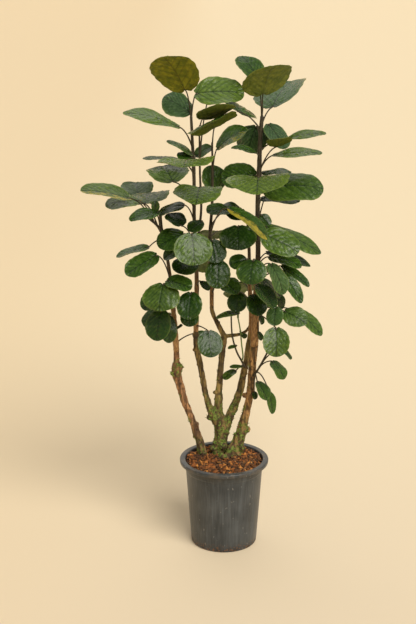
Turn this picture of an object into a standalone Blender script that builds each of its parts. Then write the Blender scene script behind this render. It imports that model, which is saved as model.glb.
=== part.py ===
"""Potted polyscias: a nursery pot filled with coconut chips, three woody trunks and their leafy shoots."""

import math
import random
from collections import namedtuple

import bmesh
import bpy
from mathutils import Quaternion, Vector
from mathutils.bvhtree import BVHTree

# Driving dimensions, in metres. The origin is the centre of the pot's base, on the floor.
POT_HEIGHT = 0.240
POT_RIM_RADIUS = 0.120
POT_TOP_RADIUS = 0.1065
POT_BASE_RADIUS = 0.089
POT_WALL = 0.0022
POT_FLOOR = 0.0040
POT_SIDES = 36
FLOOR_ROUND = 0.0030
BASE_ROUND = 0.0044
LIP_HEIGHT = 0.0100
LIP_THICK = 0.0036
LIP_ROUND = 0.0030
LIP_TAPER = 0.0008
STEP_HEIGHT = 0.210
STEP_OUT = 0.0012
CORNER_STEPS = 3
DRAIN_RADIUS = 0.0055
DRAIN_CIRCLE = 0.0600
DRAIN_COUNT = 6

SOIL_LEVEL = 0.2250
SOIL_HEAP = 0.0110
SOIL_CHIP = 0.0022
SOIL_RINGS = 7
SOIL_MARGIN = 0.0030

# Pieces that touch keep GAP between them. A limb's cap is square to a straight run of CAP_RUN.
GAP = 0.0003
CAP_RUN = 0.0040
WELD = 0.00005
WOOD_RESOLUTION = 2
SHOOT_RESOLUTION = 1
LIMB_STEPS = 2
SOCKET_POINTS = 6

BLADE_THICK = 0.0009
LONG_BLADES = (0.060, 0.100)
STALK_RADIUS = 0.0014
STALK_FOOT = 1.25
LONG_STALK = 0.045
ELBOW = 0.0030

# Colours, as red, green and blue.
PLASTIC = (0.060, 0.065, 0.072)
CHIPS = (0.26, 0.105, 0.045)
BARK = (0.34, 0.22, 0.12)
FOLIAGE = (0.045, 0.115, 0.030)

# A blade is a round leaf with a heart-shaped foot. HEEL is the angle round its outline where it
# starts, LOBE is how far its two lobes reach back past the stalk, and ROUND makes it broader than
# an ellipse. ARCH, FOLD and WAVE are the ranges that its bend, fold and rippled edge are drawn from.
HEEL = 0.30
LOBE = 0.07
ROUND = 0.85
ARCH = (0.03, 0.10)
FOLD = (-0.10, 0.16)
WAVE = (0.02, 0.05)
RIPPLE = 9
SLANT = 1.4
SEED = 7

# A leaf keeps CLEARANCE to what it doesn't grow on. Until it has it, it is moved along its line of
# sight by each of MOVES in turn. FOREIGN weighs a crossing with another body against one of its own.
CLEARANCE = 0.0026
MOVE = 0.006
MOVES = [0.0] + [way * step * MOVE for step in range(1, 16) for way in (1, -1)]
FOREIGN = 100

UP = Vector((0, 0, 1))
TO_EYE = Vector((0.35, -1, 0))

# Places on the plant are written as seen from the front: x and z are read on the upright plane
# through the pot's axis, and depth then sets the point back along the line of sight to an eye
# that is EYE_BACK in front of the pot, EYE_HEIGHT up and EYE_SIDE to the side.
EYE_BACK = 3.34
EYE_HEIGHT = 1.67
EYE_SIDE = -0.0436

Point = namedtuple("Point", "x depth z radius")
Leaf = namedtuple("Leaf", "joint base_x base_z tip_x tip_z depth reach width roll")


def seen(x, depth, z):
    """The point at this depth that is seen at x and z on the upright plane through the axis."""
    scale = 1 + depth / EYE_BACK
    return Vector((EYE_SIDE + (x - EYE_SIDE) * scale, depth, EYE_HEIGHT + (z - EYE_HEIGHT) * scale))


# Limbs, from the foot up. The first `bark` points of a limb belong to its woody trunk and the
# others to the leafy shoot that grows on it. A limb with no trunk is a twig set into one.
Limb = namedtuple("Limb", "wood shoot bark points")

LIMBS = {
    "left": Limb("trunk_left", "shoot_left", 11, [
        Point(-0.054, 0.038, 0.180, 0.0130), Point(-0.056, 0.038, 0.235, 0.0130),
        Point(-0.062, 0.038, 0.270, 0.0118), Point(-0.071, 0.036, 0.305, 0.0104),
        Point(-0.086, 0.034, 0.350, 0.0098), Point(-0.107, 0.031, 0.405, 0.0098),
        Point(-0.118, 0.030, 0.450, 0.0104), Point(-0.1265, 0.030, 0.478, 0.0128),
        Point(-0.1265, 0.030, 0.506, 0.0128), Point(-0.1268, 0.030, 0.518, 0.0082),
        Point(-0.1275, 0.029, 0.552, 0.0078), Point(-0.1310, 0.026, 0.605, 0.0072),
        Point(-0.1345, 0.024, 0.660, 0.0060), Point(-0.1400, 0.021, 0.730, 0.0050),
        Point(-0.1490, 0.018, 0.800, 0.0042), Point(-0.1570, 0.016, 0.848, 0.0038),
        Point(-0.1720, 0.012, 0.882, 0.0031), Point(-0.1960, 0.008, 0.904, 0.0026)]),
    "left_fork": Limb(None, "shoot_left", 0, [
        Point(-0.1565, 0.016, 0.846, 0.0034), Point(-0.1625, 0.022, 0.880, 0.0030),
        Point(-0.1650, 0.026, 0.922, 0.0024)]),
    "centre": Limb("trunk_centre", None, 6, [
        Point(-0.016, 0.046, 0.180, 0.0210), Point(-0.016, 0.046, 0.238, 0.0205),
        Point(-0.013, 0.045, 0.270, 0.0190), Point(-0.008, 0.044, 0.305, 0.0185),
        Point(-0.008, 0.044, 0.335, 0.0190), Point(-0.013, 0.044, 0.362, 0.0150)]),
    "tall_left": Limb("trunk_centre", "shoot_tall_left", 8, [
        Point(-0.011, 0.044, 0.336, 0.0160), Point(-0.030, 0.042, 0.368, 0.0140),
        Point(-0.0435, 0.040, 0.400, 0.0088), Point(-0.0550, 0.038, 0.452, 0.0076),
        Point(-0.0630, 0.036, 0.500, 0.0080), Point(-0.0728, 0.035, 0.550, 0.0084),
        Point(-0.0752, 0.034, 0.585, 0.0072), Point(-0.0752, 0.034, 0.605, 0.0066),
        Point(-0.0735, 0.034, 0.660, 0.0062), Point(-0.0730, 0.034, 0.730, 0.0058),
        Point(-0.0745, 0.033, 0.800, 0.0050), Point(-0.0790, 0.031, 0.900, 0.0046),
        Point(-0.0790, 0.030, 1.000, 0.0044), Point(-0.0825, 0.030, 1.090, 0.0040),
        Point(-0.0860, 0.030, 1.165, 0.0032)]),
    "tall_left_fork": Limb(None, "shoot_tall_left", 0, [
        Point(-0.0730, 0.034, 0.770, 0.0036), Point(-0.0690, 0.046, 0.850, 0.0034),
        Point(-0.0610, 0.052, 0.930, 0.0032), Point(-0.0640, 0.052, 1.020, 0.0028),
        Point(-0.0655, 0.046, 1.138, 0.0022)]),
    "middle": Limb("trunk_centre", "shoot_middle", 10, [
        Point(-0.011, 0.046, 0.340, 0.0160), Point(-0.0160, 0.048, 0.385, 0.0115),
        Point(-0.0150, 0.050, 0.420, 0.0108), Point(-0.0135, 0.051, 0.450, 0.0086),
        Point(-0.0095, 0.052, 0.500, 0.0082), Point(-0.0050, 0.053, 0.550, 0.0080),
        Point(-0.0020, 0.053, 0.585, 0.0078), Point(-0.0190, 0.053, 0.622, 0.0062),
        Point(-0.0325, 0.053, 0.654, 0.0058), Point(-0.0338, 0.053, 0.675, 0.0056),
        Point(-0.0342, 0.053, 0.720, 0.0052), Point(-0.0380, 0.053, 0.780, 0.0046),
        Point(-0.0390, 0.053, 0.850, 0.0042), Point(-0.0330, 0.052, 0.945, 0.0038),
        Point(-0.0320, 0.050, 1.030, 0.0030), Point(-0.0335, 0.048, 1.096, 0.0024)]),
    "inner": Limb("trunk_centre", "shoot_inner", 8, [
        Point(-0.003, 0.046, 0.322, 0.0160), Point(0.0140, 0.054, 0.358, 0.0125),
        Point(0.0280, 0.062, 0.394, 0.0108), Point(0.0390, 0.069, 0.425, 0.0102),
        Point(0.0480, 0.074, 0.462, 0.0094), Point(0.0555, 0.078, 0.505, 0.0084),
        Point(0.0620, 0.080, 0.550, 0.0078), Point(0.0690, 0.080, 0.600, 0.0070),
        Point(0.0690, 0.078, 0.660, 0.0060), Point(0.0640, 0.074, 0.740, 0.0050),
        Point(0.0630, 0.072, 0.810, 0.0044), Point(0.0580, 0.070, 0.900, 0.0034)]),
    "back": Limb("trunk_centre", "shoot_back", 6, [
        Point(0.0000, 0.053, 0.586, 0.0060), Point(0.0180, 0.060, 0.588, 0.0048),
        Point(0.0420, 0.080, 0.592, 0.0044), Point(0.0620, 0.104, 0.606, 0.0042),
        Point(0.0780, 0.120, 0.636, 0.0042), Point(0.0850, 0.126, 0.665, 0.0040),
        Point(0.0880, 0.130, 0.720, 0.0038), Point(0.0860, 0.136, 0.800, 0.0034),
        Point(0.0800, 0.140, 0.870, 0.0026)]),
    "right": Limb("trunk_right", "shoot_right", 10, [
        Point(0.0270, 0.036, 0.180, 0.0200), Point(0.0300, 0.036, 0.238, 0.0195),
        Point(0.0335, 0.035, 0.268, 0.0185), Point(0.0410, 0.033, 0.300, 0.0160),
        Point(0.0500, 0.031, 0.330, 0.0135), Point(0.0560, 0.028, 0.360, 0.0118),
        Point(0.0650, 0.025, 0.400, 0.0100), Point(0.0710, 0.023, 0.450, 0.0106),
        Point(0.0745, 0.021, 0.510, 0.0108), Point(0.0790, 0.020, 0.570, 0.0108),
        Point(0.0815, 0.020, 0.640, 0.0100), Point(0.0830, 0.020, 0.710, 0.0084),
        Point(0.0855, 0.020, 0.780, 0.0070), Point(0.0855, 0.020, 0.850, 0.0062),
        Point(0.0835, 0.020, 0.940, 0.0060), Point(0.0865, 0.020, 1.040, 0.0058),
        Point(0.0880, 0.020, 1.105, 0.0052), Point(0.0918, 0.020, 1.165, 0.0042)]),
    "right_root": Limb("trunk_right", None, 4, [
        Point(0.0050, 0.010, 0.200, 0.0090), Point(0.0090, 0.014, 0.236, 0.0110),
        Point(0.0190, 0.022, 0.262, 0.0115), Point(0.0340, 0.034, 0.290, 0.0100)]),
    "low_twig": Limb(None, "twig_low", 0, [
        Point(0.0735, 0.016, 0.474, 0.0030), Point(0.0860, -0.002, 0.488, 0.0028),
        Point(0.0990, -0.010, 0.512, 0.0024), Point(0.1130, -0.014, 0.540, 0.0026)]),
    "inner_twig": Limb(None, "twig_inner", 0, [
        Point(0.0550, 0.074, 0.498, 0.0028), Point(0.0450, 0.052, 0.518, 0.0027),
        Point(0.0315, 0.040, 0.545, 0.0024), Point(0.0200, 0.034, 0.590, 0.0022),
        Point(0.0170, 0.030, 0.648, 0.0020)]),
    "green_twig": Limb(None, "twig_inner", 0, [
        Point(0.0455, 0.053, 0.517, 0.0022), Point(0.0490, 0.046, 0.530, 0.0020),
        Point(0.0450, 0.040, 0.565, 0.0019), Point(0.0410, 0.036, 0.605, 0.0018),
        Point(0.0340, 0.032, 0.642, 0.0016)]),
}

# The limbs that stand in the soil, and what each twig is set into.
FEET = ("left", "centre", "right", "right_root")
SOCKETS = {"low_twig": "trunk_right", "inner_twig": "trunk_centre"}

# Old wounds and swellings of the bark, as x, depth, z and radius, on each trunk.
KNOBS = {
    "trunk_left": [(-0.076, 0.030, 0.338, 0.0075), (-0.138, 0.026, 0.482, 0.0065),
                   (-0.117, 0.026, 0.500, 0.0070), (-0.111, 0.030, 0.430, 0.0080)],
    "trunk_centre": [(-0.040, 0.040, 0.357, 0.0095), (-0.026, 0.046, 0.428, 0.0055),
                     (-0.003, 0.030, 0.273, 0.0110), (-0.028, 0.038, 0.268, 0.0100),
                     (-0.058, 0.036, 0.478, 0.0055), (-0.080, 0.032, 0.548, 0.0050)],
    "trunk_right": [(0.0620, 0.030, 0.322, 0.0085), (0.0470, 0.024, 0.270, 0.0105),
                    (0.0540, 0.024, 0.420, 0.0075)],
}

# Leaves of each limb: the height of the joint on the limb, where the blade's base and tip are
# seen, the depth of the base, how far the tip lies beyond it (towards the eye where negative),
# the blade's width, and its roll about the midrib, in degrees towards the eye.
LEAVES = {
    "left": [
        (0.898, -0.247, 0.957, -0.369, 0.977, -0.030, -0.020, 0.090, 12),
        (0.893, -0.225, 0.950, -0.306, 0.936, -0.010, -0.020, 0.080, 12),
        (0.885, -0.205, 0.943, -0.188, 0.972, -0.030, 0.085, 0.118, -8),
        (0.875, -0.172, 0.920, -0.245, 0.899, -0.050, -0.030, 0.060, 12),
        (0.870, -0.178, 0.922, -0.178, 0.950, -0.060, 0.004, 0.022, 0),
        (0.850, -0.200, 0.826, -0.281, 0.803, 0.000, 0.010, 0.052, 12),
        (0.735, -0.178, 0.804, -0.257, 0.754, -0.030, -0.030, 0.068, 28),
        (0.680, -0.160, 0.727, -0.172, 0.655, -0.065, -0.040, 0.100, 0),
        (0.660, -0.175, 0.705, -0.211, 0.658, -0.020, -0.030, 0.060, 10),
        (0.710, -0.148, 0.738, -0.087, 0.716, -0.015, -0.030, 0.058, 25),
        (0.615, -0.166, 0.655, -0.180, 0.573, -0.020, -0.030, 0.072, 0),
        (0.600, -0.150, 0.640, -0.146, 0.567, -0.005, -0.020, 0.045, 0),
        (0.622, -0.170, 0.660, -0.208, 0.610, 0.020, -0.025, 0.062, 5),
        (0.588, -0.127, 0.606, -0.111, 0.617, 0.000, -0.005, 0.018, 20),
        (0.566, -0.080, 0.592, -0.035, 0.570, 0.070, -0.010, 0.050, 20),
        (0.640, -0.162, 0.645, -0.180, 0.620, 0.080, 0.050, 0.070, 0),
        (0.700, -0.150, 0.700, -0.190, 0.670, 0.080, 0.060, 0.080, 0),
    ],
    "left_fork": [
        (0.915, -0.222, 0.962, -0.228, 0.998, 0.010, 0.070, 0.088, 0),
    ],
    "tall_left": [
        (1.163, -0.101, 1.233, -0.155, 1.314, 0.020, -0.095, 0.118, -18),
        (1.162, -0.071, 1.222, 0.047, 1.223, 0.045, 0.000, 0.102, 37),
        (1.150, -0.090, 1.178, -0.155, 1.214, 0.055, 0.010, 0.095, 30),
        (1.085, -0.123, 1.141, -0.257, 1.174, -0.020, -0.020, 0.086, 13),
        (1.050, -0.085, 1.070, -0.148, 1.104, 0.000, 0.000, 0.055, 6),
        (1.045, -0.086, 1.062, -0.122, 1.066, -0.020, -0.010, 0.045, 25),
        (1.020, -0.125, 1.058, -0.209, 1.060, 0.030, 0.010, 0.050, 2),
        (1.030, -0.073, 1.066, -0.034, 1.090, 0.050, 0.010, 0.045, 25),
        (1.020, -0.095, 1.055, -0.105, 1.037, -0.010, -0.095, 0.144, -2),
        (0.930, -0.133, 1.000, -0.160, 1.040, -0.030, 0.085, 0.112, -5),
        (0.930, -0.066, 0.984, -0.074, 0.940, -0.020, -0.100, 0.125, 0),
        (0.895, -0.108, 0.938, -0.172, 0.917, -0.020, 0.010, 0.055, 18),
        (0.820, -0.114, 0.886, -0.141, 0.918, -0.040, 0.030, 0.064, 0),
        (0.830, -0.108, 0.862, -0.173, 0.830, 0.000, -0.020, 0.080, 28),
        (0.800, -0.112, 0.825, -0.158, 0.795, 0.020, -0.010, 0.050, 20),
        (0.800, -0.085, 0.861, -0.079, 0.779, -0.095, -0.035, 0.100, 0),
        (0.770, -0.080, 0.790, -0.128, 0.762, -0.010, -0.040, 0.070, 20),
        (0.655, -0.088, 0.703, -0.095, 0.632, -0.050, -0.030, 0.068, 0),
        (0.630, -0.090, 0.660, -0.093, 0.612, -0.010, -0.020, 0.050, 0),
        (0.615, -0.043, 0.598, -0.034, 0.527, -0.030, -0.030, 0.070, 0),
        (0.720, -0.062, 0.735, -0.040, 0.712, 0.000, -0.010, 0.032, 10),
        (0.860, -0.100, 0.850, -0.120, 0.830, 0.090, 0.075, 0.095, 0),
        (0.960, -0.060, 0.975, -0.075, 0.955, 0.100, 0.070, 0.090, 0),
    ],
    "tall_left_fork": [
        (1.130, -0.054, 1.160, 0.012, 1.196, -0.010, -0.070, 0.090, -10),
        (0.880, -0.060, 0.895, -0.092, 0.870, -0.010, -0.020, 0.045, 20),
        (1.060, -0.040, 1.212, -0.020, 1.235, 0.110, 0.060, 0.085, 0),
    ],
    "middle": [
        (1.085, -0.028, 1.137, -0.036, 1.152, 0.020, -0.090, 0.135, -26),
        (1.030, -0.017, 1.087, 0.056, 1.134, 0.025, 0.000, 0.080, 20),
        (0.935, -0.022, 0.980, -0.036, 1.042, 0.070, 0.020, 0.080, 0),
        (0.880, 0.008, 0.925, -0.047, 0.921, 0.030, -0.020, 0.060, 20),
        (0.860, 0.014, 0.926, 0.110, 0.849, -0.050, -0.010, 0.060, 18),
        (0.800, -0.033, 0.845, -0.021, 0.785, -0.030, -0.030, 0.065, 0),
        (0.740, -0.018, 0.790, -0.018, 0.716, -0.075, -0.030, 0.066, 0),
        (0.700, -0.005, 0.738, 0.033, 0.702, 0.000, -0.030, 0.060, 15),
        (0.780, -0.040, 0.800, -0.050, 0.760, 0.110, 0.060, 0.090, 0),
        (0.850, -0.020, 0.870, -0.030, 0.850, 0.110, 0.075, 0.095, 0),
    ],
    "inner": [
        (0.885, 0.050, 0.920, -0.008, 0.937, 0.050, 0.000, 0.066, 8),
        (0.830, 0.034, 0.882, 0.034, 0.820, 0.000, -0.050, 0.098, 0),
        (0.770, 0.055, 0.794, 0.012, 0.780, -0.030, -0.010, 0.046, 42),
        (0.880, 0.040, 0.925, 0.012, 0.905, 0.040, -0.030, 0.060, 25),
        (0.670, 0.036, 0.703, 0.030, 0.652, 0.010, -0.020, 0.055, 0),
        (0.700, 0.050, 0.730, 0.020, 0.690, 0.130, 0.060, 0.080, 0),
    ],
    "back": [
        (0.860, 0.070, 0.870, 0.060, 0.850, 0.180, 0.080, 0.100, 0),
        (0.840, 0.110, 0.850, 0.140, 0.835, 0.160, 0.060, 0.095, 0),
        (0.760, 0.110, 0.775, 0.140, 0.750, 0.150, 0.060, 0.090, 0),
        (0.720, 0.080, 0.740, 0.065, 0.710, 0.180, 0.050, 0.090, 0),
        (0.700, 0.110, 0.705, 0.130, 0.680, 0.150, 0.030, 0.070, 0),
        (0.864, 0.120, 0.990, 0.150, 0.985, 0.130, 0.070, 0.100, 0),
    ],
    "right": [
        (1.163, 0.080, 1.256, 0.038, 1.315, 0.050, 0.045, 0.088, 0),
        (1.163, 0.094, 1.222, 0.119, 1.292, 0.000, -0.085, 0.134, -10),
        (1.140, 0.118, 1.190, 0.165, 1.254, 0.040, 0.110, 0.146, -13),
        (1.130, 0.030, 1.179, 0.034, 1.194, 0.020, 0.080, 0.110, 32),
        (1.100, 0.078, 1.139, 0.058, 1.074, 0.060, -0.020, 0.102, 10),
        (1.110, 0.110, 1.144, 0.152, 1.084, 0.060, -0.030, 0.090, 0),
        (1.080, 0.162, 1.111, 0.254, 1.123, 0.060, 0.000, 0.050, 14),
        (1.020, 0.133, 1.091, 0.141, 1.111, 0.000, -0.055, 0.065, -4),
        (1.025, 0.127, 1.068, 0.245, 1.072, -0.010, -0.030, 0.070, 9),
        (1.050, 0.076, 1.073, 0.015, 1.086, -0.020, 0.000, 0.050, 5),
        (0.970, 0.085, 1.010, 0.081, 0.966, -0.030, -0.110, 0.162, -3),
        (0.985, 0.076, 1.015, -0.010, 1.008, 0.040, 0.000, 0.090, 38),
        (0.950, 0.104, 0.982, 0.251, 0.981, 0.020, -0.010, 0.112, 32),
        (0.985, 0.097, 1.022, 0.168, 1.025, 0.080, 0.010, 0.060, 6),
        (0.905, 0.095, 0.955, 0.192, 0.950, 0.055, 0.000, 0.060, 12),
        (0.890, 0.093, 0.912, 0.116, 0.886, -0.020, -0.010, 0.032, 30),
        (0.865, 0.106, 0.882, 0.249, 0.812, 0.000, -0.020, 0.072, 18),
        (0.840, 0.100, 0.863, 0.192, 0.815, -0.060, -0.030, 0.078, 40),
        (0.785, 0.112, 0.812, 0.222, 0.777, 0.020, -0.010, 0.046, 14),
        (0.775, 0.118, 0.801, 0.199, 0.775, -0.025, -0.020, 0.050, 22),
        (0.760, 0.073, 0.791, 0.066, 0.728, -0.090, -0.030, 0.080, 0),
        (0.750, 0.120, 0.780, 0.153, 0.700, -0.080, -0.030, 0.062, 0),
        (0.745, 0.150, 0.776, 0.220, 0.722, 0.000, -0.020, 0.036, 22),
        (0.735, 0.152, 0.758, 0.201, 0.677, -0.030, -0.030, 0.042, 18),
        (0.700, 0.085, 0.724, 0.130, 0.662, -0.075, -0.030, 0.068, 0),
        (0.715, 0.096, 0.742, 0.146, 0.692, -0.020, -0.020, 0.055, 0),
        (0.672, 0.134, 0.665, 0.130, 0.615, -0.065, -0.020, 0.046, 0),
        (0.662, 0.158, 0.654, 0.216, 0.621, -0.060, -0.030, 0.060, 35),
        (0.668, 0.192, 0.656, 0.256, 0.588, -0.020, -0.030, 0.050, 15),
        (0.680, 0.073, 0.697, 0.091, 0.642, -0.030, -0.030, 0.060, 0),
        (0.645, 0.093, 0.640, 0.099, 0.618, -0.010, -0.005, 0.022, 0),
        (0.690, 0.140, 0.702, 0.150, 0.660, 0.000, -0.010, 0.032, 0),
        (0.650, 0.135, 0.606, 0.137, 0.528, -0.090, -0.030, 0.070, 0),
        (0.646, 0.090, 0.597, 0.098, 0.574, 0.020, -0.005, 0.020, 10),
        (1.150, 0.100, 1.225, 0.110, 1.250, 0.120, 0.070, 0.095, 0),
        (1.090, 0.090, 1.115, 0.085, 1.095, 0.130, 0.070, 0.090, 0),
        (1.000, 0.060, 1.012, 0.050, 1.000, 0.120, 0.080, 0.100, 0),
    ],
    "low_twig": [
        (0.484, 0.128, 0.514, 0.160, 0.466, -0.040, -0.020, 0.056, 0),
        (0.482, 0.089, 0.456, 0.115, 0.406, -0.030, -0.020, 0.050, 0),
        (0.486, 0.120, 0.427, 0.130, 0.367, -0.030, -0.010, 0.033, 0),
        (0.500, 0.158, 0.548, 0.178, 0.522, -0.050, -0.010, 0.024, 0),
        (0.481, 0.080, 0.430, 0.083, 0.408, 0.010, -0.005, 0.018, 0),
    ],
    "inner_twig": [
        (0.506, 0.029, 0.489, -0.003, 0.466, 0.040, -0.010, 0.030, 20),
        (0.512, 0.047, 0.502, 0.014, 0.500, 0.030, -0.010, 0.017, 20),
        (0.560, 0.030, 0.559, 0.009, 0.552, 0.020, -0.010, 0.014, 20),
    ],
    "green_twig": [
        (0.638, 0.036, 0.650, -0.023, 0.636, 0.020, -0.010, 0.024, 20),
        (0.600, 0.046, 0.592, 0.058, 0.582, 0.030, -0.005, 0.020, 20),
    ],
}


def smooth(points, steps):
    """More points along a limb, on a Catmull-Rom curve through its own."""
    path = []
    last = len(points) - 1
    for i in range(last):
        before, after = points[max(i - 1, 0)], points[min(i + 2, last)]
        for step in range(steps):
            t = step / steps
            path.append(Point(*(
                0.5 * (2 * b + (c - a) * t + (2 * a - 5 * b + 4 * c - d) * t ** 2
                       + (3 * b - a - 3 * c + d) * t ** 3)
                for a, b, c, d in zip(before, points[i], points[i + 1], after))))
    path.append(points[last])
    return path


def pieces_of(limb):
    """The routes of a limb's bodies, as places and radii: its wood and its young growth, end to end."""
    route = [(seen(p.x, p.depth, p.z), p.radius) for p in smooth(limb.points, LIMB_STEPS)]
    if not (limb.wood and limb.shoot):
        return [(limb.wood or limb.shoot, route)]
    split = LIMB_STEPS * (limb.bark - 1)
    place, radius = route[split]
    ahead = (route[split + 1][0] - route[split - 1][0]).normalized()
    below = [(place - ahead * run, radius) for run in (CAP_RUN, GAP / 2)]
    above = [(place + ahead * run, radius) for run in (GAP / 2, CAP_RUN)]
    return [(limb.wood, route[:split] + below), (limb.shoot, above + route[split + 1:])]


def on_limb(limb, height):
    """The place on a limb's line that is seen at this height."""
    path = smooth(LIMBS[limb].points, LIMB_STEPS)
    for low, high in zip(path, path[1:]):
        if (low.z - height) * (high.z - height) <= 0 and low.z != high.z:
            t = (height - low.z) / (high.z - low.z)
            return seen(low.x + (high.x - low.x) * t, low.depth + (high.depth - low.depth) * t, height)
    return seen(*path[-1][:3])


Blade = namedtuple("Blade", "base along normal across length width arch fold wave phase")


def laid(leaf, number):
    """The blade of a leaf: its own axes, and how it arches, folds and waves."""
    base = seen(leaf.base_x, leaf.depth, leaf.base_z)
    chord = seen(leaf.tip_x, leaf.depth + leaf.reach, leaf.tip_z) - base
    along = chord.normalized()
    normal = (UP - along * along.z).normalized()
    across = along.cross(normal)
    if across.dot(TO_EYE) < 0:
        across = -across
    roll = math.radians(leaf.roll)
    normal = normal * math.cos(roll) + across * math.sin(roll)
    draw = random.Random(SEED + number)
    arch, fold, wave = draw.uniform(*ARCH), draw.uniform(*FOLD), draw.uniform(*WAVE)
    phase = draw.uniform(0, math.tau)
    return Blade(base, along, normal, along.cross(normal), chord.length, leaf.width, arch, fold, wave, phase)


def blade_point(blade, side, row):
    """A point of the blade, from -1 to 1 across it and from 0 at its foot to 1 at its tip."""
    angle = HEEL + (math.pi - HEEL) * row
    foot = (1 - math.cos(HEEL)) / 2
    share = ((1 - math.cos(angle)) / 2 - foot) / (1 - foot)
    half = blade.width / 2 * max(math.sin(angle), 0) ** ROUND
    forward = blade.length * (share - LOBE * abs(side) * (1 - row) ** 3)
    rise = blade.length * blade.arch * 4 * share * (1 - share)
    rise += half * blade.fold * abs(side) ** 1.5
    rise += half * blade.wave * 2 * side ** 2 * math.sin(RIPPLE * row + blade.phase + SLANT * side)
    return blade.base + blade.along * forward + blade.across * half * side + blade.normal * rise


def rows_of(blade):
    """How many rows of faces a blade has, by its length."""
    return 3 + sum(blade.length > length for length in LONG_BLADES)


def blade_grid(blade, lift):
    """The corners of the blade's rows, from the foot to the tip, raised along its normal."""
    rows = rows_of(blade)
    return [blade_point(blade, side, row / rows) + blade.normal * lift
            for row in range(rows + 1) for side in (-1, 0, 1)]


def stalk_route(joint, blade):
    """The leaf stalk: it rises from the limb, arches over and turns at its elbow into the blade."""
    elbow = blade.base - blade.along * ELBOW
    span = elbow - joint
    bend = joint + Vector((span.x * 0.45, span.y * 0.45, max(span.z, 0) * 0.80 + span.length * 0.06))
    steps = 3 if span.length > LONG_STALK else 2
    shares = [step / steps for step in range(steps)]
    return [joint.lerp(bend, t).lerp(bend.lerp(elbow, t), t) for t in shares] + [elbow, blade.base]


def slab(blade, half):
    """The blade as a closed slab, this far above and below it, for the test of what it crosses."""
    corners = blade_grid(blade, half) + blade_grid(blade, -half)
    below = len(corners) // 2
    faces = []
    for left in range(0, 3 * rows_of(blade), 3):
        for first in (left, left + 1):
            quad = (first, first + 1, first + 4, first + 3)
            faces += [quad, tuple(corner + below for corner in quad)]
        for edge in (left, left + 2):
            faces.append((edge, edge + 3, edge + 3 + below, edge + below))
    return BVHTree.FromPolygons(corners, faces)


def pipe(route, radii):
    """A square tube along a route, for the same test."""
    corners = []
    faces = []
    for i, (place, radius) in enumerate(zip(route, radii)):
        ahead = (route[min(i + 1, len(route) - 1)] - route[max(i - 1, 0)]).normalized()
        aside = ahead.orthogonal().normalized()
        for quarter in range(4):
            corners.append(place + Quaternion(ahead, quarter * math.pi / 2) @ aside * radius)
        if i:
            for quarter in range(4):
                other = (quarter + 1) % 4
                faces.append((4 * i - 4 + quarter, 4 * i - 4 + other, 4 * i + other, 4 * i + quarter))
    return BVHTree.FromPolygons(corners, faces)


def crowding(shoot, stalk, blade, stems, placed):
    """What a leaf in this place would cross: other shoots and trunks weigh most."""
    reach = STALK_RADIUS + CLEARANCE
    sheet = slab(blade, CLEARANCE)
    whole = pipe(stalk, [reach] * len(stalk))
    outer = pipe(stalk[1:], [reach] * (len(stalk) - 1))
    bare = pipe(stalk[:-1], [STALK_RADIUS] * (len(stalk) - 1))
    cost = FOREIGN if slab(blade, BLADE_THICK).overlap(bare) else 0
    for node, tree in stems:
        if sheet.overlap(tree):
            cost += 1 if node == shoot else FOREIGN
        if node != shoot and whole.overlap(tree):
            cost += FOREIGN
    for node, other_sheet, other_stalk in placed:
        hits = bool(sheet.overlap(other_sheet)) + bool(sheet.overlap(other_stalk))
        hits += bool(outer.overlap(other_sheet))
        if node != shoot:
            hits += bool(outer.overlap(other_stalk))
        cost += hits * (1 if node == shoot else FOREIGN)
    return cost


def settled():
    """Every leaf, moved along its line of sight until it crosses nothing, or as little as it can."""
    stems = []
    for limb in LIMBS.values():
        for node, route in pieces_of(limb):
            stems.append((node, pipe([place for place, _ in route], [radius for _, radius in route])))
    placed = []
    number = 0
    for limb, rows in LEAVES.items():
        shoot = LIMBS[limb].shoot
        for row in rows:
            leaf = Leaf(*row)
            number += 1
            best = None
            for move in MOVES:
                blade = laid(leaf._replace(depth=leaf.depth + move), number)
                stalk = stalk_route(on_limb(limb, leaf.joint), blade)
                cost = crowding(shoot, stalk, blade, stems, placed)
                if best is None or cost < best[0]:
                    best = (cost, stalk, blade)
                if cost == 0:
                    break
            _, stalk, blade = best
            placed.append((shoot, slab(blade, BLADE_THICK), pipe(stalk, [STALK_RADIUS] * len(stalk))))
            yield shoot, number, stalk, blade


def clear_scene():
    for thing in list(bpy.data.objects):
        bpy.data.objects.remove(thing, do_unlink=True)


def collection(name):
    made = bpy.data.collections.new(name)
    bpy.context.scene.collection.children.link(made)
    return made


def material(name, colour, roughness):
    made = bpy.data.materials.new(name)
    made.use_nodes = True
    shader = made.node_tree.nodes["Principled BSDF"]
    shader.inputs["Base Color"].default_value = (*colour, 1)
    shader.inputs["Roughness"].default_value = roughness
    shader.inputs["Metallic"].default_value = 0.0
    return made


def add(name, mesh, where):
    thing = bpy.data.objects.new(name, mesh)
    where.objects.link(thing)
    return thing


def replaced(thing, name):
    """The object as a plain mesh under this name, with its modifiers applied and its corners welded."""
    graph = bpy.context.evaluated_depsgraph_get()
    mesh = bpy.data.meshes.new_from_object(thing.evaluated_get(graph))
    shape = bmesh.new()
    shape.from_mesh(mesh)
    bmesh.ops.remove_doubles(shape, verts=shape.verts, dist=WELD)
    shape.to_mesh(mesh)
    shape.free()
    home = thing.users_collection[0]
    bpy.data.objects.remove(thing)
    return add(name, mesh, home)


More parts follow.
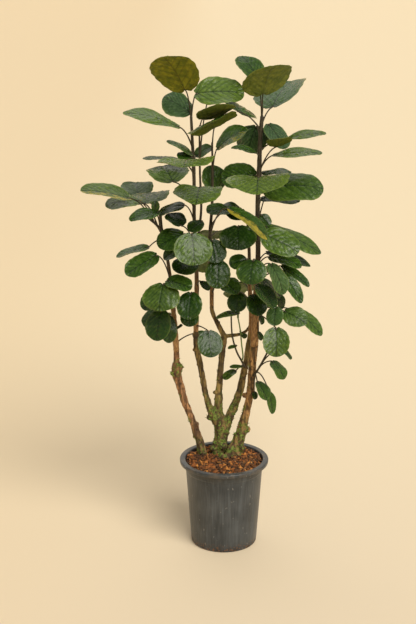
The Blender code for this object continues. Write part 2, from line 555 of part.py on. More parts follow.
def tube(name, route, where, resolution, extra=0.0):
    """A round tube along a route of places and radii, with flat ends, as a mesh."""
    curve = bpy.data.curves.new(name, "CURVE")
    curve.dimensions = "3D"
    curve.bevel_depth = 1.0
    curve.bevel_resolution = resolution
    curve.use_fill_caps = True
    spline = curve.splines.new("POLY")
    spline.points.add(len(route) - 1)
    for point, (place, radius) in zip(spline.points, route):
        point.co = (*place, 1)
        point.radius = radius + extra
    return replaced(add(name, curve, where), name)


def knob(name, place, radius, where):
    """A swelling of the bark: a coarse ball."""
    shape = bmesh.new()
    bmesh.ops.create_uvsphere(shape, u_segments=7, v_segments=4, radius=radius)
    mesh = bpy.data.meshes.new(name)
    shape.to_mesh(mesh)
    shape.free()
    thing = add(name, mesh, where)
    thing.location = place
    return thing


def cut(thing, cutter, name):
    cutter.hide_render = True
    cutter.display_type = "WIRE"
    bite = thing.modifiers.new(name, "BOOLEAN")
    bite.operation = "DIFFERENCE"
    bite.object = cutter
    bite.solver = "EXACT"


def turned(name, profile, where):
    """A solid of revolution, from a profile of radii and heights that runs down its outer side."""
    mesh = bpy.data.meshes.new(name)
    mesh.from_pydata([(radius, 0, height) for radius, height in profile],
                     [(i, i + 1) for i in range(len(profile) - 1)], [])
    thing = add(name, mesh, where)
    screw = thing.modifiers.new("turn", "SCREW")
    screw.steps = POT_SIDES
    screw.render_steps = POT_SIDES
    screw.use_merge_vertices = True
    screw.merge_threshold = WELD
    return thing


def arc(radius, height, size, start, end):
    """A rounded corner of a profile, about this centre and between these angles in degrees."""
    turns = [math.radians(start + (end - start) * step / CORNER_STEPS) for step in range(CORNER_STEPS + 1)]
    return [(radius + size * math.cos(turn), height + size * math.sin(turn)) for turn in turns]


def wall_radius(height):
    """The outer radius of the pot's wall, which steps out a little under the rim."""
    taper = (POT_TOP_RADIUS - STEP_OUT - POT_BASE_RADIUS) / POT_HEIGHT
    return POT_BASE_RADIUS + taper * height + (STEP_OUT if height > STEP_HEIGHT else 0)


def inner_radius(height):
    """The inner radius of the pot's wall, which opens a little wider above the step."""
    low = wall_radius(min(height, STEP_HEIGHT)) - POT_WALL
    share = max(height - STEP_HEIGHT, 0) / (POT_HEIGHT - STEP_HEIGHT)
    return low + (POT_TOP_RADIUS - POT_WALL - low) * share


def make_pot(parts, cutters):
    """A moulded pot: thin wall, broad rim with an open underside, and drainage holes."""
    lip_foot = POT_HEIGHT - LIP_HEIGHT
    under_lip = POT_HEIGHT - LIP_THICK
    lip_inside = POT_RIM_RADIUS - POT_WALL
    bevel = STEP_OUT * 0.8
    profile = [(0, POT_FLOOR), (inner_radius(POT_FLOOR) - FLOOR_ROUND, POT_FLOOR)]
    profile += [(inner_radius(height), height) for height in (POT_FLOOR + FLOOR_ROUND, STEP_HEIGHT)]
    profile += arc(inner_radius(POT_HEIGHT) + LIP_ROUND, POT_HEIGHT - LIP_ROUND, LIP_ROUND, 180, 90)
    profile += arc(POT_RIM_RADIUS - LIP_ROUND, POT_HEIGHT - LIP_ROUND, LIP_ROUND, 90, 0)
    profile += [(POT_RIM_RADIUS - LIP_TAPER, lip_foot), (lip_inside - LIP_TAPER, lip_foot)]
    profile += [(lip_inside, under_lip)]
    profile += [(wall_radius(under_lip), under_lip), (wall_radius(STEP_HEIGHT + bevel), STEP_HEIGHT + bevel)]
    profile += [(wall_radius(height), height) for height in (STEP_HEIGHT - bevel, BASE_ROUND)]
    profile += [(wall_radius(0) - BASE_ROUND * 0.3, BASE_ROUND * 0.3), (wall_radius(0) - BASE_ROUND, 0), (0, 0)]
    pot = turned("pot", profile, parts)
    pot.data.materials.append(material("charcoal plastic", PLASTIC, 0.55))
    for number in range(DRAIN_COUNT):
        turn = math.tau * (number + 0.5) / DRAIN_COUNT
        shape = bmesh.new()
        bmesh.ops.create_cone(shape, cap_ends=True, segments=12, radius1=DRAIN_RADIUS, radius2=DRAIN_RADIUS,
                              depth=3 * POT_FLOOR)
        mesh = bpy.data.meshes.new("drain")
        shape.to_mesh(mesh)
        shape.free()
        hole = add(f"drain_{number}", mesh, cutters)
        hole.location = (DRAIN_CIRCLE * math.cos(turn), DRAIN_CIRCLE * math.sin(turn), POT_FLOOR / 2)
        cut(pot, hole, f"drain {number}")


def make_soil(parts, cutters):
    """The filling: a heap of chips, rough on top, with a plain hole for each trunk and root."""
    edge = inner_radius(SOIL_LEVEL) - SOIL_MARGIN
    profile = [(edge * ring / SOIL_RINGS, SOIL_LEVEL + SOIL_HEAP * (1 - (ring / SOIL_RINGS) ** 2))
               for ring in range(SOIL_RINGS + 1)]
    profile += [(inner_radius(height) - GAP, height)
                for height in (SOIL_LEVEL - SOIL_MARGIN, STEP_HEIGHT, POT_FLOOR + 2 * FLOOR_ROUND)]
    profile += [(inner_radius(POT_FLOOR) - 2 * FLOOR_ROUND, POT_FLOOR + GAP), (0, POT_FLOOR + GAP)]
    soil = replaced(turned("soil", profile, parts), "soil")
    draw = random.Random(SEED)
    for corner in soil.data.vertices:
        if corner.co.z > SOIL_LEVEL + GAP:
            corner.co.z += draw.uniform(-SOIL_CHIP, SOIL_CHIP)
    soil.data.materials.append(material("coconut chips", CHIPS, 0.95))
    for limb in FEET:
        _, route = pieces_of(LIMBS[limb])[0]
        foot = [(place, radius) for place, radius in route if place.z < SOIL_LEVEL + 3 * SOIL_HEAP]
        foot[0] = (foot[0][0] - UP * 2 * GAP, foot[0][1])
        cut(soil, tube(f"{limb}_hole", foot, cutters, WOOD_RESOLUTION, GAP), limb)


def blade_faces(below, rows):
    """The faces of a blade's slab: triangles alike on both faces, and its rim but for the foot."""
    faces = []
    for left in range(0, 3 * rows, 3):
        right = left + 2
        for face in ((left, left + 1, left + 4), (left, left + 4, left + 3),
                     (right, right - 1, right + 2), (right, right + 2, right + 3)):
            faces += [face, tuple(corner + below for corner in face)]
        for edge in (left, right):
            faces.append((edge, edge + 3, edge + 3 + below, edge + below))
    return faces


def make_leaf(name, stalk, blade, where):
    """A leaf as one closed body: a stalk of four sides that opens out into the foot of its blade."""
    corners = blade_grid(blade, BLADE_THICK / 2) + blade_grid(blade, -BLADE_THICK / 2)
    below = len(corners) // 2
    faces = blade_faces(below, rows_of(blade))
    aside = blade.across
    ring = [1, 2 * below, 1 + below, 2 * below + 1]
    corners += [blade.base + aside * STALK_RADIUS, blade.base - aside * STALK_RADIUS]
    for lobe, flank in ((2, ring[1]), (0, ring[3])):
        faces += [(1, lobe, flank), (lobe, lobe + below, flank), (lobe + below, 1 + below, flank)]
    for step in range(len(stalk) - 2, -1, -1):
        ahead = (stalk[step + 1] - stalk[step]).normalized()
        if step:
            ahead = (ahead + (stalk[step] - stalk[step - 1]).normalized()).normalized()
        aside = (aside - ahead * aside.dot(ahead)).normalized()
        above = aside.cross(ahead)
        behind = [len(corners) + quarter for quarter in range(4)]
        radius = STALK_RADIUS * (STALK_FOOT - (STALK_FOOT - 1) * step / len(stalk))
        corners += [stalk[step] + way * radius for way in (above, aside, -above, -aside)]
        for quarter in range(4):
            other = (quarter + 1) % 4
            faces.append((ring[quarter], ring[other], behind[other], behind[quarter]))
        ring = behind
    faces.append(ring)
    mesh = bpy.data.meshes.new(name)
    mesh.from_pydata(corners, [], faces)
    shape = bmesh.new()
    shape.from_mesh(mesh)
    bmesh.ops.remove_doubles(shape, verts=shape.verts, dist=WELD)
    bmesh.ops.recalc_face_normals(shape, faces=shape.faces)
    bmesh.ops.triangulate(shape, faces=shape.faces)
    shape.to_mesh(mesh)
    shape.free()
    add(name, mesh, where)


def make_growth(name, colour, roughness, leaves, parts):
    """A trunk or a leafy shoot as one body: its limbs, knobs and leaves."""
    resolution = WOOD_RESOLUTION if name in KNOBS else SHOOT_RESOLUTION
    rest = collection(f"{name} rest")
    routes = [route for limb in LIMBS.values() for node, route in pieces_of(limb) if node == name]
    body = tube(name, routes[0], parts, resolution)
    for number, route in enumerate(routes[1:]):
        tube(f"{name} limb {number}", route, rest, resolution)
    for number, (x, depth, z, radius) in enumerate(KNOBS.get(name, [])):
        knob(f"{name} knob {number}", seen(x, depth, z), radius, rest)
    for number, stalk, blade in leaves:
        make_leaf(f"leaf {number}", stalk, blade, rest)
    union = body.modifiers.new("union", "BOOLEAN")
    union.operation = "UNION"
    union.operand_type = "COLLECTION"
    union.collection = rest
    union.solver = "MANIFOLD"
    body = replaced(body, name)
    for thing in list(rest.objects):
        bpy.data.objects.remove(thing)
    bpy.data.collections.remove(rest)
    body.data.materials.clear()
    body.data.materials.append(material(f"{name} skin", colour, roughness))
    return body


def build():
    clear_scene()
    parts = collection("potted polyscias")
    cutters = collection("cutters")
    make_pot(parts, cutters)
    make_soil(parts, cutters)
    trunks = {name: make_growth(name, BARK, 0.8, [], parts) for name in KNOBS}
    leaves = {}
    for shoot, number, stalk, blade in settled():
        leaves.setdefault(shoot, []).append((number, stalk, blade))
    for name, own in leaves.items():
        make_growth(name, FOLIAGE, 0.35, own, parts)
    for twig, trunk in SOCKETS.items():
        root = pieces_of(LIMBS[twig])[0][1][:SOCKET_POINTS]
        ahead = (root[1][0] - root[0][0]).normalized()
        root[0] = (root[0][0] - ahead * GAP, root[0][1])
        cut(trunks[trunk], tube(f"{twig}_hole", root, cutters, SHOOT_RESOLUTION, GAP), twig)


if __name__ == "__main__":
    build()
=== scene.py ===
"""Looks of the potted polyscias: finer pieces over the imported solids, their finishes, light and camera."""

import math
import random
from collections import namedtuple

import bmesh
import bpy
from mathutils import Matrix, Quaternion, Vector, noise
from mathutils.kdtree import KDTree


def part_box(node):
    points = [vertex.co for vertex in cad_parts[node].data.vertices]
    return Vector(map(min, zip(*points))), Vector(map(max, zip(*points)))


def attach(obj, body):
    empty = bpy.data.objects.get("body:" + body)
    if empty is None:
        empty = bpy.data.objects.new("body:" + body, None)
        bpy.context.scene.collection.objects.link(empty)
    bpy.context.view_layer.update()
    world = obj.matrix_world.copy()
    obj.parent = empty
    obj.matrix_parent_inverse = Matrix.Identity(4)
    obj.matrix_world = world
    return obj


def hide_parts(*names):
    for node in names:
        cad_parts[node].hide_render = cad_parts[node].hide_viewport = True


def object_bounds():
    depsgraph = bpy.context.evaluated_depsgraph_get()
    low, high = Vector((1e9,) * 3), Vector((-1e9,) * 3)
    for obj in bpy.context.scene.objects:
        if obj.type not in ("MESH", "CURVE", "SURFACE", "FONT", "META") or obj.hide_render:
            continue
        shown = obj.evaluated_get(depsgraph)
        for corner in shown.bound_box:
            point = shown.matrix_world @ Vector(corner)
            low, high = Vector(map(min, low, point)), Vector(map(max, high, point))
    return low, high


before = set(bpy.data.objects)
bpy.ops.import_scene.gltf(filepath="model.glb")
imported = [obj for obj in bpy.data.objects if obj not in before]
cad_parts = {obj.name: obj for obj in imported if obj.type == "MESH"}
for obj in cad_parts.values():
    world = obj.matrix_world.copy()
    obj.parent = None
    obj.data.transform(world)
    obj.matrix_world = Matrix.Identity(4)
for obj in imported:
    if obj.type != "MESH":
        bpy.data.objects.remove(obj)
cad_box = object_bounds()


# Pot: a nursery pot moulded in charcoal plastic, 240 mm high, thin in the wall, with a broad rim
# that is open underneath and six drainage holes in the floor. It is scuffed and dusty from use.

class Paint:
    """A value in a finish. Sums and products of it make the finish's maths nodes."""

    def __init__(self, tree, socket=None):
        self.tree = tree
        self.socket = socket

    def node(self, kind, settings=None, values=None, out=0):
        """What comes out of a new node, whose settings are set before its inputs."""
        node = self.tree.nodes.new("ShaderNode" + kind)
        for name, setting in (settings or {}).items():
            setattr(node, name, setting)
        for name, value in (values or {}).items():
            if isinstance(value, Paint):
                self.tree.links.new(value.socket, node.inputs[name])
            else:
                node.inputs[name].default_value = value
        return Paint(self.tree, node.outputs[out])

    def maths(self, operation, *terms):
        return self.node("Math", {"operation": operation}, dict(enumerate(terms)))

    def __add__(self, other):
        return self.maths("ADD", self, other)

    def __sub__(self, other):
        return self.maths("SUBTRACT", self, other)

    def __rsub__(self, other):
        return self.maths("SUBTRACT", other, self)

    def __mul__(self, other):
        return self.maths("MULTIPLY", self, other)

    __radd__ = __add__
    __rmul__ = __mul__

    def between(self, low, high):
        """A soft step from 0 at low to 1 at high."""
        return self.node("MapRange", {"interpolation_type": "SMOOTHSTEP"}, {0: self, 1: low, 2: high})

    def blend(self, first, second):
        """The first colour where this is 0 and the second where it is 1."""
        ends = [end if isinstance(end, Paint) else (*end, 1) for end in (first, second)]
        return self.node("Mix", {"data_type": "RGBA"}, {0: self, 6: ends[0], 7: ends[1]}, out=2)

    def stretched(self, x, y, z):
        return self.node("VectorMath", {"operation": "MULTIPLY"}, {0: self, 1: (x, y, z)})

    def cloud(self, scale, detail=3.0):
        """A cloudy pattern over this place, from 0 to 1."""
        return self.node("TexNoise", {}, {"Vector": self, "Scale": scale, "Detail": detail})


class Finish:
    """A material: one Principled shader, the place on the piece, and the values painted on its mesh."""

    def __init__(self, name, roughness):
        self.material = bpy.data.materials.new(name)
        self.material.use_nodes = True
        self.tree = self.material.node_tree
        self.shader = self.tree.nodes["Principled BSDF"]
        self.shader.inputs["Roughness"].default_value = roughness
        self.start = Paint(self.tree)
        self.place = self.start.node("TexCoord", out="Object")

    def painted(self, name):
        return self.start.node("Attribute", {"attribute_name": name}, out="Fac")

    def height(self):
        return self.start.node("SeparateXYZ", {}, {0: self.place}, out="Z")

    def wear(self, **looks):
        """Sets or joins the shader's inputs, by their names with _ for a space."""
        for name, value in looks.items():
            socket = self.shader.inputs[name.replace("_", " ")]
            if isinstance(value, Paint):
                self.tree.links.new(value.socket, socket)
            else:
                socket.default_value = value

    def bumped(self, height, distance, strength=1.0):
        bump = self.start.node("Bump", {}, {"Height": height, "Distance": distance, "Strength": strength})
        self.wear(Normal=bump)


def shown(name, mesh, finish, slot, *nodes):
    """A piece on the object, which stands for these CAD nodes."""
    mesh.shade_smooth()
    mesh.materials.clear()
    mesh.materials.append(finish.material)
    thing = bpy.data.objects.new(name, mesh)
    bpy.context.scene.collection.objects.link(thing)
    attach(thing, "root")
    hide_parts(*nodes)
    return thing


def mesh_of(name, corners, faces, **painted):
    mesh = bpy.data.meshes.new(name)
    mesh.from_pydata(corners, [], faces)
    for value, numbers in painted.items():
        mesh.attributes.new(value, "FLOAT", "POINT").data.foreach_set("value", numbers)
    return mesh


def worked(mesh, *steps):
    """The mesh after these modifiers, each given as its kind and settings."""
    thing = bpy.data.objects.new("work", mesh)
    bpy.context.scene.collection.objects.link(thing)
    for kind, settings in steps:
        step = thing.modifiers.new(kind, kind)
        for name, setting in settings.items():
            setattr(step, name, setting)
    graph = bpy.context.evaluated_depsgraph_get()
    made = bpy.data.meshes.new_from_object(thing.evaluated_get(graph))
    bpy.data.objects.remove(thing)
    return made


pot_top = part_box("pot")[1].z
rim_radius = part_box("pot")[1].x
top_radius = 0.1065
base_radius = 0.089
wall = 0.0022
floor_top = 0.0040
step_height = 0.210
step_out = 0.0012


def wall_radius(height):
    """The outer radius of the pot's wall, which steps out a little under the rim."""
    taper = (top_radius - step_out - base_radius) / pot_top
    step = min(max((height - step_height) / step_out / 2 + 0.5, 0), 1)
    return base_radius + taper * height + step_out * step


def inner_radius(height):
    low = wall_radius(min(height, step_height - step_out)) - wall
    share = max(height - step_height, 0) / (pot_top - step_height)
    return low + (top_radius - wall - low) * share


def corner_arc(radius, height, size, start, end):
    """A rounded corner of the pot's profile about this centre, between these angles in degrees."""
    turns = [math.radians(start + (end - start) * step / 8) for step in range(9)]
    return [(radius + size * math.cos(turn), height + size * math.sin(turn)) for turn in turns]


lip_height = 0.0100
lip_round = 0.0030
under_lip = pot_top - 0.0036
lip_foot = rim_radius - 0.0008
base_round = 0.0044

pot_profile = [(0, floor_top), (0.03, floor_top)]
pot_profile += corner_arc(inner_radius(floor_top) - lip_round, floor_top + lip_round, lip_round, -90, 0)
pot_profile += [(inner_radius(height / 100), height / 100) for height in range(1, 23)]
pot_profile += corner_arc(inner_radius(pot_top) + lip_round, pot_top - lip_round, lip_round, 180, 90)
pot_profile += corner_arc(rim_radius - lip_round, pot_top - lip_round, lip_round, 90, 0)
pot_profile += [(rim_radius - 0.0003, pot_top - 0.006), (lip_foot, pot_top - lip_height + 0.0006)]
pot_profile += [(lip_foot - 0.0005, pot_top - lip_height), (lip_foot - 0.0017, pot_top - lip_height)]
pot_profile += [(lip_foot - wall, pot_top - lip_height + 0.0006), (lip_foot - wall, under_lip - 0.001)]
pot_profile += [(lip_foot - wall - 0.001, under_lip), (wall_radius(under_lip) + 0.0015, under_lip)]
pot_profile += [(wall_radius(under_lip), under_lip - 0.0015), (wall_radius(0.222), 0.222)]
pot_profile += [(wall_radius(step_height + rise), step_height + rise)
                for rise in (0.004, 0.0016, 0.0010, 0.0004, -0.0004, -0.0010, -0.0016, -0.004)]
pot_profile += [(wall_radius(height / 100), height / 100) for height in range(20, 0, -1)]
pot_profile += corner_arc(base_radius - base_round, base_round, base_round, 0, -90)
pot_profile += [(0.03, 0), (0, 0)]

pot_sides = 144
pot_corners = []
for turn_step in range(pot_sides):
    turn = math.tau * turn_step / pot_sides
    for radius, height in pot_profile:
        # The wall isn't quite round: it gives a little under the rim and between the ribs of its mould.
        lean = height / pot_top * (0.0006 * math.sin(2 * turn + 0.7) + 0.0003 * math.sin(5 * turn))
        reach = radius + (lean if 0.05 < radius < rim_radius - 0.006 else 0)
        pot_corners.append((reach * math.cos(turn), reach * math.sin(turn), height))
ring = len(pot_profile)
pot_faces = [(this, this + 1, (this + 1 + ring) % len(pot_corners), (this + ring) % len(pot_corners))
             for start in range(0, len(pot_corners), ring) for this in range(start, start + ring - 1)]

holes = bmesh.new()
for hole in range(6):
    turn = math.tau * (hole + 0.5) / 6
    where = Matrix.Translation((0.060 * math.cos(turn), 0.060 * math.sin(turn), floor_top / 2))
    bmesh.ops.create_cone(holes, cap_ends=True, segments=24, radius1=0.0055, radius2=0.0055,
                          depth=3 * floor_top, matrix=where)
hole_mesh = bpy.data.meshes.new("holes")
holes.to_mesh(hole_mesh)
holes.free()
hole_cutter = bpy.data.objects.new("holes", hole_mesh)
bpy.context.scene.collection.objects.link(hole_cutter)
pot_mesh = worked(mesh_of("pot", pot_corners, pot_faces),
                  ("WELD", {"merge_threshold": 0.00002}),
                  ("BOOLEAN", {"object": hole_cutter, "operation": "DIFFERENCE", "solver": "EXACT"}))
bpy.data.objects.remove(hole_cutter)

plastic = Finish("charcoal plastic", 0.5)
height = plastic.height()
streaks = plastic.place.stretched(1, 1, 0.05).cloud(70).between(0.52, 0.80)
patches = plastic.place.cloud(14).between(0.35, 0.75)
scuffs = plastic.place.stretched(1, 1, 0.5).cloud(150, 1).between(0.70, 0.78)
foot_dirt = height.between(0.022, 0.002) * plastic.place.cloud(60).between(0.35, 0.6)
crumbs = height.between(0.030, 0.0) * plastic.place.cloud(190, 1).between(0.56, 0.62)
rim_dust = height.between(0.205, 0.238) * plastic.place.cloud(40).between(0.4, 0.8)
grain = plastic.place.stretched(1, 1, 0.03).cloud(240, 2).between(0.35, 0.70)
charcoal = (streaks * 0.45 + patches * 0.3 + grain * 0.25).blend((0.026, 0.031, 0.035), (0.110, 0.122, 0.130))
charcoal = (rim_dust * 0.7).blend(charcoal, (0.130, 0.098, 0.066))
charcoal = (scuffs * 0.6).blend(charcoal, (0.24, 0.23, 0.21))
charcoal = (foot_dirt * 0.85).blend(charcoal, (0.020, 0.014, 0.010))
plastic.wear(Base_Color=crumbs.blend(charcoal, (0.16, 0.07, 0.03)),
             Roughness=0.36 + streaks * 0.25 + foot_dirt * 0.2)
plastic.bumped(plastic.place.cloud(900, 2), 0.00015, 0.4)
shown("pot_moulding", pot_mesh, plastic, "pot_plastic", "pot")


# Coconut chips: the pot is filled with chopped coconut husk, which heaps up towards the trunks.
# The imported filling is kept as the bed, coloured near black as painted shade in the gaps, and loose
# chips, crumbs and fibres lie on it.

soil_top = 0.2250
heap = 0.0110


def heap_height(x, y):
    """The filling's height: heaped round the trunks, and loose chips lie deeper against the wall."""
    out = (x * x + y * y) / inner_radius(soil_top) ** 2
    return soil_top + heap * (1 - out) + 0.006 * out ** 3


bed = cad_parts["soil"].data.copy()
shape = bmesh.new()
shape.from_mesh(bed)
bmesh.ops.remove_doubles(shape, verts=shape.verts, dist=0.00002)
top_faces = [face for face in shape.faces if face.normal.z > 0.5 and face.calc_center_median().z > soil_top - 0.004]
top_edges = list({edge for face in top_faces for edge in face.edges})
bmesh.ops.subdivide_edges(shape, edges=top_edges, cuts=5, use_grid_fill=True)
for corner in shape.verts:
    if corner.co.z > soil_top + 0.0005 and all(face.normal.z > 0.4 for face in corner.link_faces):
        corner.co.z += 0.0022 * noise.noise(corner.co * 160) - 0.0015
shape.to_mesh(bed)
shape.free()

# The round feet that stand in the filling: where each is, and its radius there.
feet = ((-0.0565, 0.038, 0.0150), (-0.0165, 0.046, 0.0225), (0.0300, 0.036, 0.0215),
        (0.0085, 0.0135, 0.0130), (-0.0060, -0.0020, 0.0080))

block = bmesh.new()
bmesh.ops.create_cube(block, size=2.0)
bmesh.ops.subdivide_edges(block, edges=block.edges, cuts=1, use_grid_fill=True)
block_corners = [corner.co * (0.55 + 0.45 / corner.co.length) for corner in block.verts]
block_faces = [[corner.index for corner in face.verts] for face in block.faces]
block.free()

chip_corners, chip_faces, chip_tones = [], [], []
draw = random.Random(11)


def lay_chip(centre, size):
    """One piece of husk: a torn block, longest along its fibres."""
    turned = Quaternion(Vector((draw.gauss(0, 1), draw.gauss(0, 1), draw.gauss(0, 1))), draw.uniform(0, math.tau))
    form = Vector((draw.uniform(0.75, 1.25), draw.uniform(0.45, 0.8), draw.uniform(0.25, 0.55))) * size / 2
    tone = draw.random() ** 1.5
    first = len(chip_corners)
    for corner in block_corners:
        rough = 1 + draw.uniform(-0.22, 0.22)
        chip_corners.append(centre + turned @ Vector([c * f * rough for c, f in zip(corner, form)]))
        chip_tones.append(min(max(tone + draw.uniform(-0.12, 0.12), 0), 1))
    chip_faces.extend([first + corner for corner in face] for face in block_faces)


chip_layers = ((0.001, 900, 0.007, 0.011), (0.007, 480, 0.007, 0.015), (0.008, 480, 0.002, 0.006))
for layer, count, smallest, largest in chip_layers:
    laid_down = 0
    while laid_down < count:
        reach = (inner_radius(soil_top) - 0.002) * math.sqrt(draw.random())
        turn = draw.uniform(0, math.tau)
        x, y = reach * math.cos(turn), reach * math.sin(turn)
        size = draw.uniform(smallest, largest)
        if reach + size * 0.36 > inner_radius(soil_top):
            continue
        if any(math.hypot(x - fx, y - fy) < radius + size * 0.35 for fx, fy, radius in feet):
            continue
        lay_chip(Vector((x, y, heap_height(x, y) + layer * draw.uniform(0.3, 1.0))), size)
        laid_down += 1

husk = Finish("coconut husk", 0.9)
tone = husk.painted("tone")
fibre = husk.place.stretched(1, 0.3, 1).cloud(420, 2).between(0.35, 0.7)
brown = tone.between(0.05, 0.60).blend((0.022, 0.008, 0.003), (0.29, 0.088, 0.016))
brown = tone.between(0.65, 1.0).blend(brown, (0.66, 0.27, 0.055))
brown = (fibre * 0.22).blend(brown, (0.50, 0.23, 0.06))
damp = husk.place.cloud(38, 2).between(0.45, 0.66)
husk.wear(Base_Color=(damp * 0.65).blend(brown, (0.040, 0.020, 0.009)))
husk.bumped(husk.place.stretched(1, 0.3, 1).cloud(700, 3), 0.0004, 0.7)
# The bed's near-black brown is painted shade, seen in the gaps between the chips.
bed_gap_shade_finish = Finish("chip bed", 0.95)
bed_gap_shade_finish.wear(Base_Color=bed_gap_shade_finish.place.cloud(180).between(0.3, 0.8).blend((0.010, 0.005, 0.003), (0.070, 0.028, 0.012)))
bed_gap_shade_finish.bumped(bed_gap_shade_finish.place.cloud(400), 0.0015)
shown("chip_bed", bed, bed_gap_shade_finish, "coconut_chips", "soil")


class Shell:
    """Corners and faces that are gathered into one mesh, with the values painted on them."""

    def __init__(self, *painted):
        self.corners = []
        self.faces = []
        self.painted = {name: [] for name in painted}

    def tube(self, route, sides, pointed=False, **values):
        """A round tube along places and radii, closed at both ends."""
        aside = (route[1][0] - route[0][0]).orthogonal().normalized()
        start = len(self.corners)
        for i, (place, radius) in enumerate(route):
            ahead = (route[min(i + 1, len(route) - 1)][0] - route[max(i - 1, 0)][0]).normalized()
            aside = (aside - ahead * aside.dot(ahead)).normalized()
            other = ahead.cross(aside)
            for side in range(sides):
                turn = math.tau * side / sides
                self.corners.append(place + (aside * math.cos(turn) + other * math.sin(turn)) * radius)
            if i:
                low = start + (i - 1) * sides
                for side in range(sides):
                    beside = (side + 1) % sides
                    self.faces.append((low + side, low + beside, low + sides + beside, low + sides + side))
        self.faces.append(tuple(start + side for side in reversed(range(sides))))
        last = start + (len(route) - 1) * sides
        self.faces.append(tuple(last + side for side in range(sides)))
        for name, numbers in self.painted.items():
            numbers.extend([values.get(name, 0.0)] * (len(route) * sides))

    def mesh(self, name):
        return mesh_of(name, self.corners, self.faces, **self.painted)


# Loose strands of the husk, pulled out of the chips: most lie at the right.
strands = Shell()
for strand in range(70):
    turn = draw.gauss(-0.15, 0.9)
    reach = 0.088 * math.sqrt(draw.uniform(0.10, 0.95))
    place = Vector((reach * math.cos(turn), reach * math.sin(turn), 0))
    heading = draw.uniform(0, math.tau)
    route = []
    for step in range(draw.randint(7, 14)):
        if place.xy.length > 0.092 or any(math.hypot(place.x - x, place.y - y) < radius for x, y, radius in feet):
            break
        rise = heap_height(place.x, place.y) + 0.0065 + 0.0030 * noise.noise(place * 60 + Vector((0, 0, strand)))
        route.append((Vector((place.x, place.y, rise)), draw.uniform(0.0003, 0.0006)))
        heading += draw.gauss(0, 0.28)
        place += Vector((math.cos(heading), math.sin(heading), 0)) * 0.004
    if len(route) > 3:
        strands.tube(route, 5)
strand_finish = Finish("husk strands", 0.85)
strand_finish.wear(Base_Color=strand_finish.place.cloud(60).between(0.35, 0.65).blend((0.09, 0.055, 0.030), (0.33, 0.22, 0.13)))
shown("husk_strands", strands.mesh("strands"), strand_finish, "coconut_chips", "soil")
shown("loose_chips", mesh_of("chips", chip_corners, chip_faces, tone=chip_tones), husk, "coconut_chips", "soil")


# Trunks: three old woody stems rise from the filling. Their bark is cracked lengthwise, ringed by
# old leaf scars, knotted at healed wounds and green with moss near the ground and at the collar.
# Painted shade darkens its cracks, the hollows between its lumps, and its upper part under the crown.

Point = namedtuple("Point", "x depth z radius")
Limb = namedtuple("Limb", "wood shoot bark points")

# The eye that x and z are read from: straight lines through it and the upright plane y = 0.
eye_back = 3.34
eye_height = 1.67
eye_side = -0.0436


def seen(x, depth, z):
    """The point at this depth that is seen at x and z on the upright plane through the axis."""
    scale = 1 + depth / eye_back
    return Vector((eye_side + (x - eye_side) * scale, depth, eye_height + (z - eye_height) * scale))


